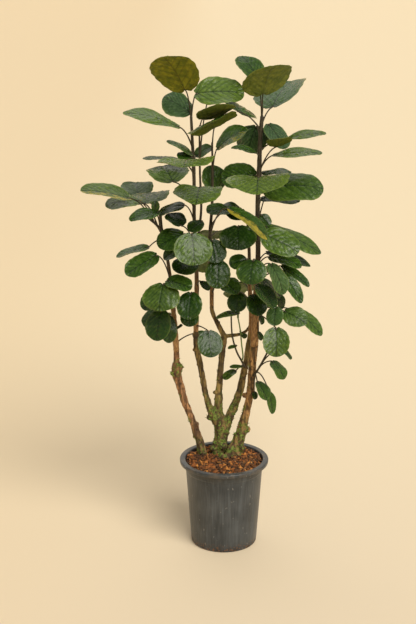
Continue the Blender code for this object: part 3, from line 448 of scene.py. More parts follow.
# Limbs, from the foot up. The first `bark` points of a limb belong to its woody trunk and the
# others to the leafy shoot that grows on it. A limb with no trunk is a twig set into one.
LIMBS = {
    "left": Limb("trunk_left", "shoot_left", 11, [
        Point(-0.054, 0.038, 0.180, 0.0130), Point(-0.056, 0.038, 0.235, 0.0130),
        Point(-0.062, 0.038, 0.270, 0.0118), Point(-0.071, 0.036, 0.305, 0.0104),
        Point(-0.086, 0.034, 0.350, 0.0098), Point(-0.107, 0.031, 0.405, 0.0098),
        Point(-0.118, 0.030, 0.450, 0.0104), Point(-0.1265, 0.030, 0.478, 0.0128),
        Point(-0.1265, 0.030, 0.506, 0.0128), Point(-0.1268, 0.030, 0.518, 0.0082),
        Point(-0.1275, 0.029, 0.552, 0.0078), Point(-0.1310, 0.026, 0.605, 0.0072),
        Point(-0.1345, 0.024, 0.660, 0.0060), Point(-0.1400, 0.021, 0.730, 0.0050),
        Point(-0.1490, 0.018, 0.800, 0.0042), Point(-0.1570, 0.016, 0.848, 0.0038),
        Point(-0.1720, 0.012, 0.882, 0.0031), Point(-0.1960, 0.008, 0.904, 0.0026)]),
    "left_fork": Limb(None, "shoot_left", 0, [
        Point(-0.1565, 0.016, 0.846, 0.0034), Point(-0.1625, 0.022, 0.880, 0.0030),
        Point(-0.1650, 0.026, 0.922, 0.0024)]),
    "centre": Limb("trunk_centre", None, 6, [
        Point(-0.016, 0.046, 0.180, 0.0210), Point(-0.016, 0.046, 0.238, 0.0205),
        Point(-0.013, 0.045, 0.270, 0.0190), Point(-0.008, 0.044, 0.305, 0.0185),
        Point(-0.008, 0.044, 0.335, 0.0190), Point(-0.013, 0.044, 0.362, 0.0150)]),
    "tall_left": Limb("trunk_centre", "shoot_tall_left", 8, [
        Point(-0.011, 0.044, 0.336, 0.0160), Point(-0.030, 0.042, 0.368, 0.0140),
        Point(-0.0435, 0.040, 0.400, 0.0088), Point(-0.0550, 0.038, 0.452, 0.0076),
        Point(-0.0630, 0.036, 0.500, 0.0080), Point(-0.0728, 0.035, 0.550, 0.0084),
        Point(-0.0752, 0.034, 0.585, 0.0072), Point(-0.0752, 0.034, 0.605, 0.0066),
        Point(-0.0735, 0.034, 0.660, 0.0062), Point(-0.0730, 0.034, 0.730, 0.0058),
        Point(-0.0745, 0.033, 0.800, 0.0050), Point(-0.0790, 0.031, 0.900, 0.0046),
        Point(-0.0790, 0.030, 1.000, 0.0044), Point(-0.0825, 0.030, 1.090, 0.0040),
        Point(-0.0860, 0.030, 1.165, 0.0032)]),
    "tall_left_fork": Limb(None, "shoot_tall_left", 0, [
        Point(-0.0730, 0.034, 0.770, 0.0036), Point(-0.0690, 0.046, 0.850, 0.0034),
        Point(-0.0610, 0.052, 0.930, 0.0032), Point(-0.0640, 0.052, 1.020, 0.0028),
        Point(-0.0655, 0.046, 1.138, 0.0022)]),
    "middle": Limb("trunk_centre", "shoot_middle", 10, [
        Point(-0.011, 0.046, 0.340, 0.0160), Point(-0.0160, 0.048, 0.385, 0.0115),
        Point(-0.0150, 0.050, 0.420, 0.0108), Point(-0.0135, 0.051, 0.450, 0.0086),
        Point(-0.0095, 0.052, 0.500, 0.0082), Point(-0.0050, 0.053, 0.550, 0.0080),
        Point(-0.0020, 0.053, 0.585, 0.0078), Point(-0.0190, 0.053, 0.622, 0.0062),
        Point(-0.0325, 0.053, 0.654, 0.0058), Point(-0.0338, 0.053, 0.675, 0.0056),
        Point(-0.0342, 0.053, 0.720, 0.0052), Point(-0.0380, 0.053, 0.780, 0.0046),
        Point(-0.0390, 0.053, 0.850, 0.0042), Point(-0.0330, 0.052, 0.945, 0.0038),
        Point(-0.0320, 0.050, 1.030, 0.0030), Point(-0.0335, 0.048, 1.096, 0.0024)]),
    "inner": Limb("trunk_centre", "shoot_inner", 8, [
        Point(-0.003, 0.046, 0.322, 0.0160), Point(0.0140, 0.054, 0.358, 0.0125),
        Point(0.0280, 0.062, 0.394, 0.0108), Point(0.0390, 0.069, 0.425, 0.0102),
        Point(0.0480, 0.074, 0.462, 0.0094), Point(0.0555, 0.078, 0.505, 0.0084),
        Point(0.0620, 0.080, 0.550, 0.0078), Point(0.0690, 0.080, 0.600, 0.0070),
        Point(0.0690, 0.078, 0.660, 0.0060), Point(0.0640, 0.074, 0.740, 0.0050),
        Point(0.0630, 0.072, 0.810, 0.0044), Point(0.0580, 0.070, 0.900, 0.0034)]),
    "back": Limb("trunk_centre", "shoot_back", 6, [
        Point(0.0000, 0.053, 0.586, 0.0060), Point(0.0180, 0.060, 0.588, 0.0048),
        Point(0.0420, 0.080, 0.592, 0.0044), Point(0.0620, 0.104, 0.606, 0.0042),
        Point(0.0780, 0.120, 0.636, 0.0042), Point(0.0850, 0.126, 0.665, 0.0040),
        Point(0.0880, 0.130, 0.720, 0.0038), Point(0.0860, 0.136, 0.800, 0.0034),
        Point(0.0800, 0.140, 0.870, 0.0026)]),
    "right": Limb("trunk_right", "shoot_right", 10, [
        Point(0.0270, 0.036, 0.180, 0.0200), Point(0.0300, 0.036, 0.238, 0.0195),
        Point(0.0335, 0.035, 0.268, 0.0185), Point(0.0410, 0.033, 0.300, 0.0160),
        Point(0.0500, 0.031, 0.330, 0.0135), Point(0.0560, 0.028, 0.360, 0.0118),
        Point(0.0650, 0.025, 0.400, 0.0100), Point(0.0710, 0.023, 0.450, 0.0106),
        Point(0.0745, 0.021, 0.510, 0.0108), Point(0.0790, 0.020, 0.570, 0.0108),
        Point(0.0815, 0.020, 0.640, 0.0100), Point(0.0830, 0.020, 0.710, 0.0084),
        Point(0.0855, 0.020, 0.780, 0.0070), Point(0.0855, 0.020, 0.850, 0.0062),
        Point(0.0835, 0.020, 0.940, 0.0060), Point(0.0865, 0.020, 1.040, 0.0058),
        Point(0.0880, 0.020, 1.105, 0.0052), Point(0.0918, 0.020, 1.165, 0.0042)]),
    "right_root": Limb("trunk_right", None, 4, [
        Point(0.0050, 0.010, 0.200, 0.0090), Point(0.0090, 0.014, 0.236, 0.0110),
        Point(0.0190, 0.022, 0.262, 0.0115), Point(0.0340, 0.034, 0.290, 0.0100)]),
    "stub": Limb("trunk_right", None, 4, [
        Point(0.0100, 0.014, 0.228, 0.0100), Point(0.0010, 0.004, 0.238, 0.0092),
        Point(-0.0070, -0.003, 0.243, 0.0085), Point(-0.0120, -0.008, 0.243, 0.0080)]),
    "low_twig": Limb(None, "twig_low", 0, [
        Point(0.0735, 0.016, 0.474, 0.0030), Point(0.0860, -0.002, 0.488, 0.0028),
        Point(0.0990, -0.010, 0.512, 0.0024), Point(0.1130, -0.014, 0.540, 0.0026)]),
    "inner_twig": Limb(None, "twig_inner", 0, [
        Point(0.0550, 0.074, 0.498, 0.0028), Point(0.0450, 0.052, 0.518, 0.0027),
        Point(0.0315, 0.040, 0.545, 0.0024), Point(0.0200, 0.034, 0.590, 0.0022),
        Point(0.0170, 0.030, 0.648, 0.0020)]),
    "green_twig": Limb(None, "twig_inner", 0, [
        Point(0.0455, 0.053, 0.517, 0.0022), Point(0.0490, 0.046, 0.530, 0.0020),
        Point(0.0450, 0.040, 0.565, 0.0019), Point(0.0410, 0.036, 0.605, 0.0018),
        Point(0.0340, 0.032, 0.642, 0.0016)]),
}

KNOBS = {
    "trunk_left": [(-0.076, 0.030, 0.338, 0.0075), (-0.138, 0.026, 0.482, 0.0065),
                   (-0.117, 0.026, 0.500, 0.0070), (-0.111, 0.030, 0.430, 0.0080)],
    "trunk_centre": [(-0.040, 0.040, 0.357, 0.0095), (-0.026, 0.046, 0.428, 0.0055),
                     (-0.003, 0.030, 0.273, 0.0110), (-0.028, 0.038, 0.268, 0.0100),
                     (-0.058, 0.036, 0.478, 0.0055), (-0.080, 0.032, 0.548, 0.0050)],
    "trunk_right": [(0.0620, 0.030, 0.322, 0.0085), (0.0470, 0.024, 0.270, 0.0105),
                    (0.0540, 0.024, 0.420, 0.0075)],
}
limb_steps = 6


def smooth(points):
    """More points along a limb, on a Catmull-Rom curve through its own."""
    path = []
    last = len(points) - 1
    for i in range(last):
        before, after = points[max(i - 1, 0)], points[min(i + 2, last)]
        for step in range(limb_steps):
            t = step / limb_steps
            path.append(Point(*(
                0.5 * (2 * b + (c - a) * t + (2 * a - 5 * b + 4 * c - d) * t ** 2
                       + (3 * b - a - 3 * c + d) * t ** 3)
                for a, b, c, d in zip(before, points[i], points[i + 1], after))))
    path.append(points[last])
    return path


def pieces_of(limb):
    """The routes of a limb's wood and of its young growth, which is set a little way into the wood."""
    route = [(seen(p.x, p.depth, p.z), p.radius) for p in smooth(limb.points)]
    if not (limb.wood and limb.shoot):
        return [(limb.wood or limb.shoot, route)]
    split = limb_steps * (limb.bark - 1)
    return [(limb.wood, route[:split + 1]), (limb.shoot, route[split - 1:])]


def soft_step(value, low, high):
    share = min(max((value - low) / (high - low), 0), 1)
    return share * share * (3 - 2 * share)


# How green each trunk is with moss, as heights where it starts to thin and where it has gone.
moss_heights = {"trunk_left": (0.24, 0.30), "trunk_centre": (0.34, 0.44), "trunk_right": (0.30, 0.37)}
collar = (0.466, 0.515)
bark_looks = {
    "trunk_left": ((0.60, 0.31, 0.135), (0.10, 0.045, 0.018)),
    "trunk_centre": ((0.34, 0.235, 0.075), (0.045, 0.030, 0.010)),
    "trunk_right": ((0.58, 0.33, 0.125), (0.085, 0.045, 0.016)),
}

tufts = Shell("tone")
tuft_draw = random.Random(5)

for name, knobs in KNOBS.items():
    rough = Shell()
    for limb in LIMBS.values():
        for node, route in pieces_of(limb):
            if node == name:
                rough.tube(route, 24)
    lump = bmesh.new()
    for x, depth, z, radius in knobs:
        bmesh.ops.create_icosphere(lump, subdivisions=3, radius=radius, matrix=Matrix.Translation(seen(x, depth, z)))
    knots = []
    grow = random.Random(len(knobs) + len(name))
    for limb in LIMBS.values():
        for node, route in pieces_of(limb):
            gap = 0.0
            for (low, radius), (high, _) in zip(route[:-1], route[1:]):
                gap -= (high - low).length
                if node != name or gap > 0 or low.z < 0.235:
                    continue
                gap = grow.uniform(0.008, 0.022)
                turn = grow.uniform(0, math.tau)
                out = Quaternion((high - low).normalized(), turn) @ (high - low).orthogonal().normalized()
                place = low + out * radius * 0.86
                knots.append(place + out * radius * 0.2)
                bmesh.ops.create_icosphere(lump, subdivisions=2, radius=radius * grow.uniform(0.26, 0.50),
                                           matrix=Matrix.Translation(place))
    knot_tree = KDTree(len(knots))
    for i, place in enumerate(knots):
        knot_tree.insert(place, i)
    knot_tree.balance()
    first = len(rough.corners)
    lump.verts.index_update()
    rough.corners += [corner.co.copy() for corner in lump.verts]
    rough.faces += [[first + corner.index for corner in face.verts] for face in lump.faces]
    lump.free()
    wood = worked(rough.mesh(name), ("REMESH", {"mode": "VOXEL", "voxel_size": 0.0015}),
                  ("SMOOTH", {"factor": 0.5, "iterations": 5}))
    fissure_and_hollow_shade, moss, scarred, moved = [], [], [], []
    moss_thins, moss_ends = moss_heights[name]
    for place, normal in [(corner.co.copy(), corner.normal.copy()) for corner in wood.vertices]:
        ridge = 1 - abs(noise.noise(Vector((place.x * 210, place.y * 210, place.z * 38))))
        fissure = soft_step(ridge, 0.86, 0.99)
        scar_line = place.z + 0.004 * noise.noise(place * 45)
        scar = soft_step(abs((scar_line / 0.0135) % 1 - 0.5), 0.36, 0.49)
        lumps = noise.noise(place * 55)
        green = 1 - soft_step(place.z, moss_thins, moss_ends)
        if name == "trunk_left" and collar[0] < place.z < collar[1]:
            green = 1
        damp_side = soft_step(-normal.x, 0.1, 0.8) * (1 - soft_step(place.z, 0.42, 0.60))
        green = max(green, damp_side * soft_step(noise.noise(place * 36), -0.05, 0.25))
        green *= soft_step(noise.fractal(place * 120, 0.8, 2.0, 3), -0.15, 0.35)
        grain = noise.noise(place * 620)
        old = 1 - soft_step(place.z, 0.30, 0.60)
        depth = (0.0008 + 0.0018 * old) * lumps - (0.0007 + 0.0007 * old) * fissure
        depth += 0.0004 * scar + (0.00015 + 0.00025 * old) * grain + 0.0006 * green
        scarred.append(math.exp(-(knot_tree.find(place)[2] / 0.0035) ** 2))
        moved.extend(place + normal * (depth if place.z > 0.2 else 0))
        if green > 0.55 and tuft_draw.random() < 0.035 * (3 if place.z > collar[0] else 1):
            lean = (normal + Vector((tuft_draw.gauss(0, 0.4), tuft_draw.gauss(0, 0.4), tuft_draw.uniform(0, 0.8))))
            tip = place + normal * 0.0006 + lean.normalized() * tuft_draw.uniform(0.0015, 0.0040)
            tufts.tube([(place - normal * 0.0008, 0.0006), (place.lerp(tip, 0.6), 0.0007), (tip, 0.0002)], 4,
                       tone=tuft_draw.random())
        # Fissures and the hollows between lumps: the fissures' own darker bark, and painted shade in the recesses.
        fissure_and_hollow_shade.append(max(fissure, 1 - soft_step(lumps, -0.6, -0.3)))
        moss.append(green)
    wood.vertices.foreach_set("co", moved)
    wood.attributes.new("fissure_and_hollow_shade", "FLOAT", "POINT").data.foreach_set("value", fissure_and_hollow_shade)
    wood.attributes.new("moss", "FLOAT", "POINT").data.foreach_set("value", moss)
    wood.attributes.new("scar", "FLOAT", "POINT").data.foreach_set("value", scarred)
    pale, deep = bark_looks[name]
    bark = Finish(f"{name} bark", 0.85)
    streak = bark.place.stretched(1, 1, 0.14).cloud(130, 4).between(0.40, 0.62)
    bands = bark.place.stretched(0.4, 0.4, 1).cloud(90, 2).between(0.50, 0.76)
    blotch = bark.place.cloud(34, 2).between(0.40, 0.62)
    skin = (0.15 + streak * 0.85).blend(deep, pale)
    skin = (blotch * 0.45).blend(skin, (0.085, 0.050, 0.020))
    skin = (bands * 0.6).blend(skin, (0.050, 0.028, 0.014))
    low_skin = streak.blend((0.030, 0.022, 0.009), (0.20, 0.145, 0.055))
    skin = (bark.height().between(0.40, 0.24) * 0.65).blend(skin, low_skin)
    # Painted shade in the fissures and hollows, over the fissures' own darker bark.
    skin = (bark.painted("fissure_and_hollow_shade") * 0.75).blend(skin, (0.022, 0.013, 0.006))
    skin = (bark.painted("scar") * 0.85).blend(skin, (0.035, 0.020, 0.011))
    # Darker towards the top: painted shade under the crown of leaves.
    skin = (bark.height().between(0.56, 0.86) * 0.6).blend(skin, (0.085, 0.052, 0.026))
    lichen = bark.place.cloud(260, 2).between(0.35, 0.65).blend((0.060, 0.115, 0.012), (0.24, 0.34, 0.055))
    bark.wear(Base_Color=(bark.painted("moss") * 0.85).blend(skin, lichen))
    bark.bumped(bark.place.stretched(1, 1, 0.3).cloud(520, 4), 0.0006, 0.8)
    shown(f"{name}_bark", wood, bark, "bark", name)

moss_finish = Finish("moss", 0.9)
moss_finish.wear(Base_Color=moss_finish.painted("tone").blend((0.045, 0.085, 0.010), (0.23, 0.35, 0.045)))
shown("moss", tufts.mesh("moss"), moss_finish, "bark", *KNOBS)


# Young growth: round green-brown shoots and twigs, each leaf on a long dark stalk that is widened
# where it clasps the shoot and turns at an elbow into its blade.

# Leaves of each limb: the height of the joint on the limb, where the blade's base and tip are
# seen, the depth of the base, how far the tip lies beyond it (towards the eye where negative),
# the blade's width, and its roll about the midrib, in degrees towards the eye.
LEAVES = {
    "left": [
        (0.898, -0.247, 0.957, -0.369, 0.977, -0.030, -0.020, 0.090, 12),
        (0.893, -0.225, 0.950, -0.306, 0.936, -0.010, -0.020, 0.080, 12),
        (0.885, -0.205, 0.943, -0.188, 0.972, -0.030, 0.085, 0.118, -8),
        (0.875, -0.172, 0.920, -0.245, 0.899, -0.050, -0.030, 0.060, 12),
        (0.870, -0.178, 0.922, -0.178, 0.950, -0.060, 0.004, 0.022, 0),
        (0.850, -0.200, 0.826, -0.281, 0.803, 0.000, 0.010, 0.052, 12),
        (0.735, -0.178, 0.804, -0.257, 0.754, -0.030, -0.030, 0.068, 28),
        (0.680, -0.160, 0.727, -0.172, 0.655, -0.065, -0.040, 0.100, 0),
        (0.660, -0.175, 0.705, -0.211, 0.658, -0.020, -0.030, 0.060, 10),
        (0.710, -0.148, 0.738, -0.087, 0.716, -0.015, -0.030, 0.058, 25),
        (0.615, -0.166, 0.655, -0.180, 0.573, -0.020, -0.030, 0.072, 0),
        (0.600, -0.150, 0.640, -0.146, 0.567, -0.005, -0.020, 0.045, 0),
        (0.622, -0.170, 0.660, -0.208, 0.610, 0.020, -0.025, 0.062, 5),
        (0.588, -0.127, 0.606, -0.111, 0.617, 0.000, -0.005, 0.018, 20),
        (0.566, -0.080, 0.592, -0.035, 0.570, 0.070, -0.010, 0.050, 20),
        (0.640, -0.162, 0.645, -0.180, 0.620, 0.080, 0.050, 0.070, 0),
        (0.700, -0.150, 0.700, -0.190, 0.670, 0.080, 0.060, 0.080, 0),
    ],
    "left_fork": [
        (0.915, -0.222, 0.962, -0.228, 0.998, 0.010, 0.070, 0.088, 0),
    ],
    "tall_left": [
        (1.163, -0.101, 1.233, -0.155, 1.314, 0.020, -0.095, 0.118, -18),
        (1.162, -0.071, 1.222, 0.047, 1.223, 0.045, 0.000, 0.102, 37),
        (1.150, -0.090, 1.178, -0.155, 1.214, 0.055, 0.010, 0.095, 30),
        (1.085, -0.123, 1.141, -0.257, 1.174, -0.020, -0.020, 0.086, 13),
        (1.050, -0.085, 1.070, -0.148, 1.104, 0.000, 0.000, 0.055, 6),
        (1.045, -0.086, 1.062, -0.122, 1.066, -0.020, -0.010, 0.045, 25),
        (1.020, -0.125, 1.058, -0.209, 1.060, 0.030, 0.010, 0.050, 2),
        (1.030, -0.073, 1.066, -0.034, 1.090, 0.050, 0.010, 0.045, 25),
        (1.020, -0.095, 1.055, -0.105, 1.037, -0.010, -0.095, 0.144, -2),
        (0.930, -0.133, 1.000, -0.160, 1.040, -0.030, 0.085, 0.112, -5),
        (0.930, -0.066, 0.984, -0.074, 0.940, -0.020, -0.100, 0.125, 0),
        (0.895, -0.108, 0.938, -0.172, 0.917, -0.020, 0.010, 0.055, 18),
        (0.820, -0.114, 0.886, -0.141, 0.918, -0.040, 0.030, 0.064, 0),
        (0.830, -0.108, 0.862, -0.173, 0.830, 0.000, -0.020, 0.080, 28),
        (0.800, -0.112, 0.825, -0.158, 0.795, 0.020, -0.010, 0.050, 20),
        (0.800, -0.085, 0.861, -0.079, 0.779, -0.095, -0.035, 0.100, 0),
        (0.770, -0.080, 0.790, -0.128, 0.762, -0.010, -0.040, 0.070, 20),
        (0.655, -0.088, 0.703, -0.095, 0.632, -0.050, -0.030, 0.068, 0),
        (0.630, -0.090, 0.660, -0.093, 0.612, -0.010, -0.020, 0.050, 0),
        (0.615, -0.043, 0.598, -0.034, 0.527, -0.030, -0.030, 0.070, 0),
        (0.720, -0.062, 0.735, -0.040, 0.712, 0.000, -0.010, 0.032, 10),
        (0.860, -0.100, 0.850, -0.120, 0.830, 0.090, 0.075, 0.095, 0),
        (0.960, -0.060, 0.975, -0.075, 0.955, 0.100, 0.070, 0.090, 0),
    ],
    "tall_left_fork": [
        (1.130, -0.054, 1.160, 0.012, 1.196, -0.010, -0.070, 0.090, -10),
        (0.880, -0.060, 0.895, -0.092, 0.870, -0.010, -0.020, 0.045, 20),
        (1.060, -0.040, 1.212, -0.020, 1.235, 0.110, 0.060, 0.085, 0),
    ],
    "middle": [
        (1.085, -0.028, 1.137, -0.036, 1.152, 0.020, -0.090, 0.135, -26),
        (1.030, -0.017, 1.087, 0.056, 1.134, 0.025, 0.000, 0.080, 20),
        (0.935, -0.022, 0.980, -0.036, 1.042, 0.070, 0.020, 0.080, 0),
        (0.880, 0.008, 0.925, -0.047, 0.921, 0.030, -0.020, 0.060, 20),
        (0.860, 0.014, 0.926, 0.110, 0.849, -0.050, -0.010, 0.060, 18),
        (0.800, -0.033, 0.845, -0.021, 0.785, -0.030, -0.030, 0.065, 0),
        (0.740, -0.018, 0.790, -0.018, 0.716, -0.075, -0.030, 0.066, 0),
        (0.700, -0.005, 0.738, 0.033, 0.702, 0.000, -0.030, 0.060, 15),
        (0.780, -0.040, 0.800, -0.050, 0.760, 0.110, 0.060, 0.090, 0),
        (0.850, -0.020, 0.870, -0.030, 0.850, 0.110, 0.075, 0.095, 0),
    ],
    "inner": [
        (0.885, 0.050, 0.920, -0.008, 0.937, 0.050, 0.000, 0.066, 8),
        (0.830, 0.034, 0.882, 0.034, 0.820, 0.000, -0.050, 0.098, 0),
        (0.770, 0.055, 0.794, 0.012, 0.780, -0.030, -0.010, 0.046, 42),
        (0.880, 0.040, 0.925, 0.012, 0.905, 0.040, -0.030, 0.060, 25),
        (0.670, 0.036, 0.703, 0.030, 0.652, 0.010, -0.020, 0.055, 0),
        (0.700, 0.050, 0.730, 0.020, 0.690, 0.130, 0.060, 0.080, 0),
    ],
    "back": [
        (0.860, 0.070, 0.870, 0.060, 0.850, 0.180, 0.080, 0.100, 0),
        (0.840, 0.110, 0.850, 0.140, 0.835, 0.160, 0.060, 0.095, 0),
        (0.760, 0.110, 0.775, 0.140, 0.750, 0.150, 0.060, 0.090, 0),
        (0.720, 0.080, 0.740, 0.065, 0.710, 0.180, 0.050, 0.090, 0),
        (0.700, 0.110, 0.705, 0.130, 0.680, 0.150, 0.030, 0.070, 0),
        (0.864, 0.120, 0.990, 0.150, 0.985, 0.130, 0.070, 0.100, 0),
    ],
    "right": [
        (1.163, 0.080, 1.256, 0.038, 1.315, 0.050, 0.045, 0.088, 0),
        (1.163, 0.094, 1.222, 0.119, 1.292, 0.000, -0.085, 0.134, -10),
        (1.140, 0.118, 1.190, 0.165, 1.254, 0.040, 0.110, 0.146, -13),
        (1.130, 0.030, 1.179, 0.034, 1.194, 0.020, 0.080, 0.110, 32),
        (1.100, 0.078, 1.139, 0.058, 1.074, 0.060, -0.020, 0.102, 10),
        (1.110, 0.110, 1.144, 0.152, 1.084, 0.060, -0.030, 0.090, 0),
        (1.080, 0.162, 1.111, 0.254, 1.123, 0.060, 0.000, 0.050, 14),
        (1.020, 0.133, 1.091, 0.141, 1.111, 0.000, -0.055, 0.065, -4),
        (1.025, 0.127, 1.068, 0.245, 1.072, -0.010, -0.030, 0.070, 9),
        (1.050, 0.076, 1.073, 0.015, 1.086, -0.020, 0.000, 0.050, 5),
        (0.970, 0.085, 1.010, 0.081, 0.966, -0.030, -0.110, 0.162, -3),
        (0.985, 0.076, 1.015, -0.010, 1.008, 0.040, 0.000, 0.090, 38),
        (0.950, 0.104, 0.982, 0.251, 0.981, 0.020, -0.010, 0.112, 32),
        (0.985, 0.097, 1.022, 0.168, 1.025, 0.080, 0.010, 0.060, 6),
        (0.905, 0.095, 0.955, 0.192, 0.950, 0.055, 0.000, 0.060, 12),
        (0.890, 0.093, 0.912, 0.116, 0.886, -0.020, -0.010, 0.032, 30),
        (0.865, 0.106, 0.882, 0.249, 0.812, 0.000, -0.020, 0.072, 18),
        (0.840, 0.100, 0.863, 0.192, 0.815, -0.060, -0.030, 0.078, 40),
        (0.785, 0.112, 0.812, 0.222, 0.777, 0.020, -0.010, 0.046, 14),
        (0.775, 0.118, 0.801, 0.199, 0.775, -0.025, -0.020, 0.050, 22),
        (0.760, 0.073, 0.791, 0.066, 0.728, -0.090, -0.030, 0.080, 0),
        (0.750, 0.120, 0.780, 0.153, 0.700, -0.080, -0.030, 0.062, 0),
        (0.745, 0.150, 0.776, 0.220, 0.722, 0.000, -0.020, 0.036, 22),
        (0.735, 0.152, 0.758, 0.201, 0.677, -0.030, -0.030, 0.042, 18),
        (0.700, 0.085, 0.724, 0.130, 0.662, -0.075, -0.030, 0.068, 0),
        (0.715, 0.096, 0.742, 0.146, 0.692, -0.020, -0.020, 0.055, 0),
        (0.672, 0.134, 0.665, 0.130, 0.615, -0.065, -0.020, 0.046, 0),
        (0.662, 0.158, 0.654, 0.216, 0.621, -0.060, -0.030, 0.060, 35),
        (0.668, 0.192, 0.656, 0.256, 0.588, -0.020, -0.030, 0.050, 15),
        (0.680, 0.073, 0.697, 0.091, 0.642, -0.030, -0.030, 0.060, 0),
        (0.645, 0.093, 0.640, 0.099, 0.618, -0.010, -0.005, 0.022, 0),
        (0.690, 0.140, 0.702, 0.150, 0.660, 0.000, -0.010, 0.032, 0),
        (0.650, 0.135, 0.606, 0.137, 0.528, -0.090, -0.030, 0.070, 0),
        (0.646, 0.090, 0.597, 0.098, 0.574, 0.020, -0.005, 0.020, 10),
        (1.150, 0.100, 1.225, 0.110, 1.250, 0.120, 0.070, 0.095, 0),
        (1.090, 0.090, 1.115, 0.085, 1.095, 0.130, 0.070, 0.090, 0),
        (1.000, 0.060, 1.012, 0.050, 1.000, 0.120, 0.080, 0.100, 0),
    ],
    "low_twig": [
        (0.484, 0.128, 0.514, 0.160, 0.466, -0.040, -0.020, 0.056, 0),
        (0.482, 0.089, 0.456, 0.115, 0.406, -0.030, -0.020, 0.050, 0),
        (0.486, 0.120, 0.427, 0.130, 0.367, -0.030, -0.010, 0.033, 0),
        (0.500, 0.158, 0.548, 0.178, 0.522, -0.050, -0.010, 0.024, 0),
        (0.481, 0.080, 0.430, 0.083, 0.408, 0.010, -0.005, 0.018, 0),
    ],
    "inner_twig": [
        (0.506, 0.029, 0.489, -0.003, 0.466, 0.040, -0.010, 0.030, 20),
        (0.512, 0.047, 0.502, 0.014, 0.500, 0.030, -0.010, 0.017, 20),
        (0.560, 0.030, 0.559, 0.009, 0.552, 0.020, -0.010, 0.014, 20),
    ],
    "green_twig": [
        (0.638, 0.036, 0.650, -0.023, 0.636, 0.020, -0.010, 0.024, 20),
        (0.600, 0.046, 0.592, 0.058, 0.582, 0.030, -0.005, 0.020, 20),
    ],
}

stalk_radius = 0.0016
elbow_length = 0.0030
blade_thick = 0.0009
heel = 0.30
lobe = 0.07
broad = 0.85
arch_range = (0.03, 0.10)
fold_range = (-0.10, 0.16)
wave_range = (0.02, 0.05)
ripple = 9
slant = 1.4
leaf_seed = 7
move = 0.006
moves = [step * move for step in range(-15, 16)]
up = Vector((0, 0, 1))
to_eye = Vector((0.35, -1, 0))

Leaf = namedtuple("Leaf", "joint base_x base_z tip_x tip_z depth reach width roll")
Blade = namedtuple("Blade", "base along normal across length width arch fold wave phase")


def on_limb(limb, height):
    """The place on a limb's line that is seen at this height."""
    path = smooth(LIMBS[limb].points)
    for low, high in zip(path, path[1:]):
        if (low.z - height) * (high.z - height) <= 0 and low.z != high.z:
            t = (height - low.z) / (high.z - low.z)
            return seen(low.x + (high.x - low.x) * t, low.depth + (high.depth - low.depth) * t, height)
    return seen(*path[-1][:3])


def laid(leaf, number):
    """The blade of a leaf: its own axes, and how it arches, folds and waves."""
    base = seen(leaf.base_x, leaf.depth, leaf.base_z)
    chord = seen(leaf.tip_x, leaf.depth + leaf.reach, leaf.tip_z) - base
    along = chord.normalized()
    normal = (up - along * along.z).normalized()
    across = along.cross(normal)
    if across.dot(to_eye) < 0:
        across = -across
    roll = math.radians(leaf.roll)
    normal = normal * math.cos(roll) + across * math.sin(roll)
    own = random.Random(leaf_seed + number)
    arch, fold, wave = own.uniform(*arch_range), own.uniform(*fold_range), own.uniform(*wave_range)
    phase = own.uniform(0, math.tau)
    return Blade(base, along, normal, along.cross(normal), chord.length, leaf.width, arch, fold, wave, phase)


def blade_point(blade, side, row):
    """A point of the blade's middle, from -1 to 1 across it and from 0 at its foot to 1 at its tip."""
    angle = heel + (math.pi - heel) * row
    foot = (1 - math.cos(heel)) / 2
    share = ((1 - math.cos(angle)) / 2 - foot) / (1 - foot)
    half = blade.width / 2 * max(math.sin(angle), 0) ** broad * (1 - 0.16 * soft_step(share, 0.84, 1.0))
    back = math.sin(math.pi / 2 * min(abs(side) / 0.6, 1)) - 0.5 * soft_step(abs(side), 0.6, 1.0)
    forward = blade.length * (share - lobe * back * (1 - row) ** 3)
    rise = blade.length * blade.arch * 4 * share * (1 - share)
    rise += half * blade.fold * abs(side) ** 1.5
    rise += half * blade.wave * 2 * side ** 2 * math.sin(ripple * row + blade.phase + slant * side)
    return half * side, forward, rise


def packed_blade(leaf, number, solid):
    """The leaf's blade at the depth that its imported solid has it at: its corners are the solid's own."""
    best = None
    for step in moves:
        blade = laid(leaf._replace(depth=leaf.depth + step), number)
        miss = 0
        for row in (0.34, 1 / 3, 1.0, 0.25, 0.5, 0.2, 0.4, 0.6):
            for side in (-1, 1):
                across, forward, rise = blade_point(blade, side, row)
                edge = blade.base + blade.along * forward + blade.across * across + blade.normal * rise
                miss += min(solid.find(edge)[2], 0.004)
        if best is None or miss < best[0]:
            best = (miss, blade)
    return best[1]


solids = {}
for node in ("shoot_left", "shoot_tall_left", "shoot_middle", "shoot_inner", "shoot_back", "shoot_right",
             "twig_low", "twig_inner"):
    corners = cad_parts[node].data.vertices
    solids[node] = KDTree(len(corners))
    for i, corner in enumerate(corners):
        solids[node].insert(corner.co, i)
    solids[node].balance()

grown = {node: [] for node in solids}
number = 0
for limb, rows in LEAVES.items():
    node = LIMBS[limb].shoot
    for row in rows:
        number += 1
        leaf = Leaf(*row)
        blade = packed_blade(leaf, number, solids[node])
        grown[node].append((number, on_limb(limb, leaf.joint), blade))


def stalk_route(joint, blade):
    """The leaf stalk: it rises from the limb, arches over and turns at its elbow into the blade."""
    elbow = blade.base - blade.along * elbow_length
    span = elbow - joint
    bend = joint + Vector((span.x * 0.45, span.y * 0.45, max(span.z, 0) * 0.80 + span.length * 0.06))
    places = [joint.lerp(bend, t / 12).lerp(bend.lerp(elbow, t / 12), t / 12) for t in range(12)]
    places += [elbow, blade.base, blade.base + blade.along * elbow_length]
    rounded = [places[0]]
    for near, far in zip(places, places[1:]):
        rounded += [near.lerp(far, 0.25), near.lerp(far, 0.75)]
    return rounded + [places[-1]]


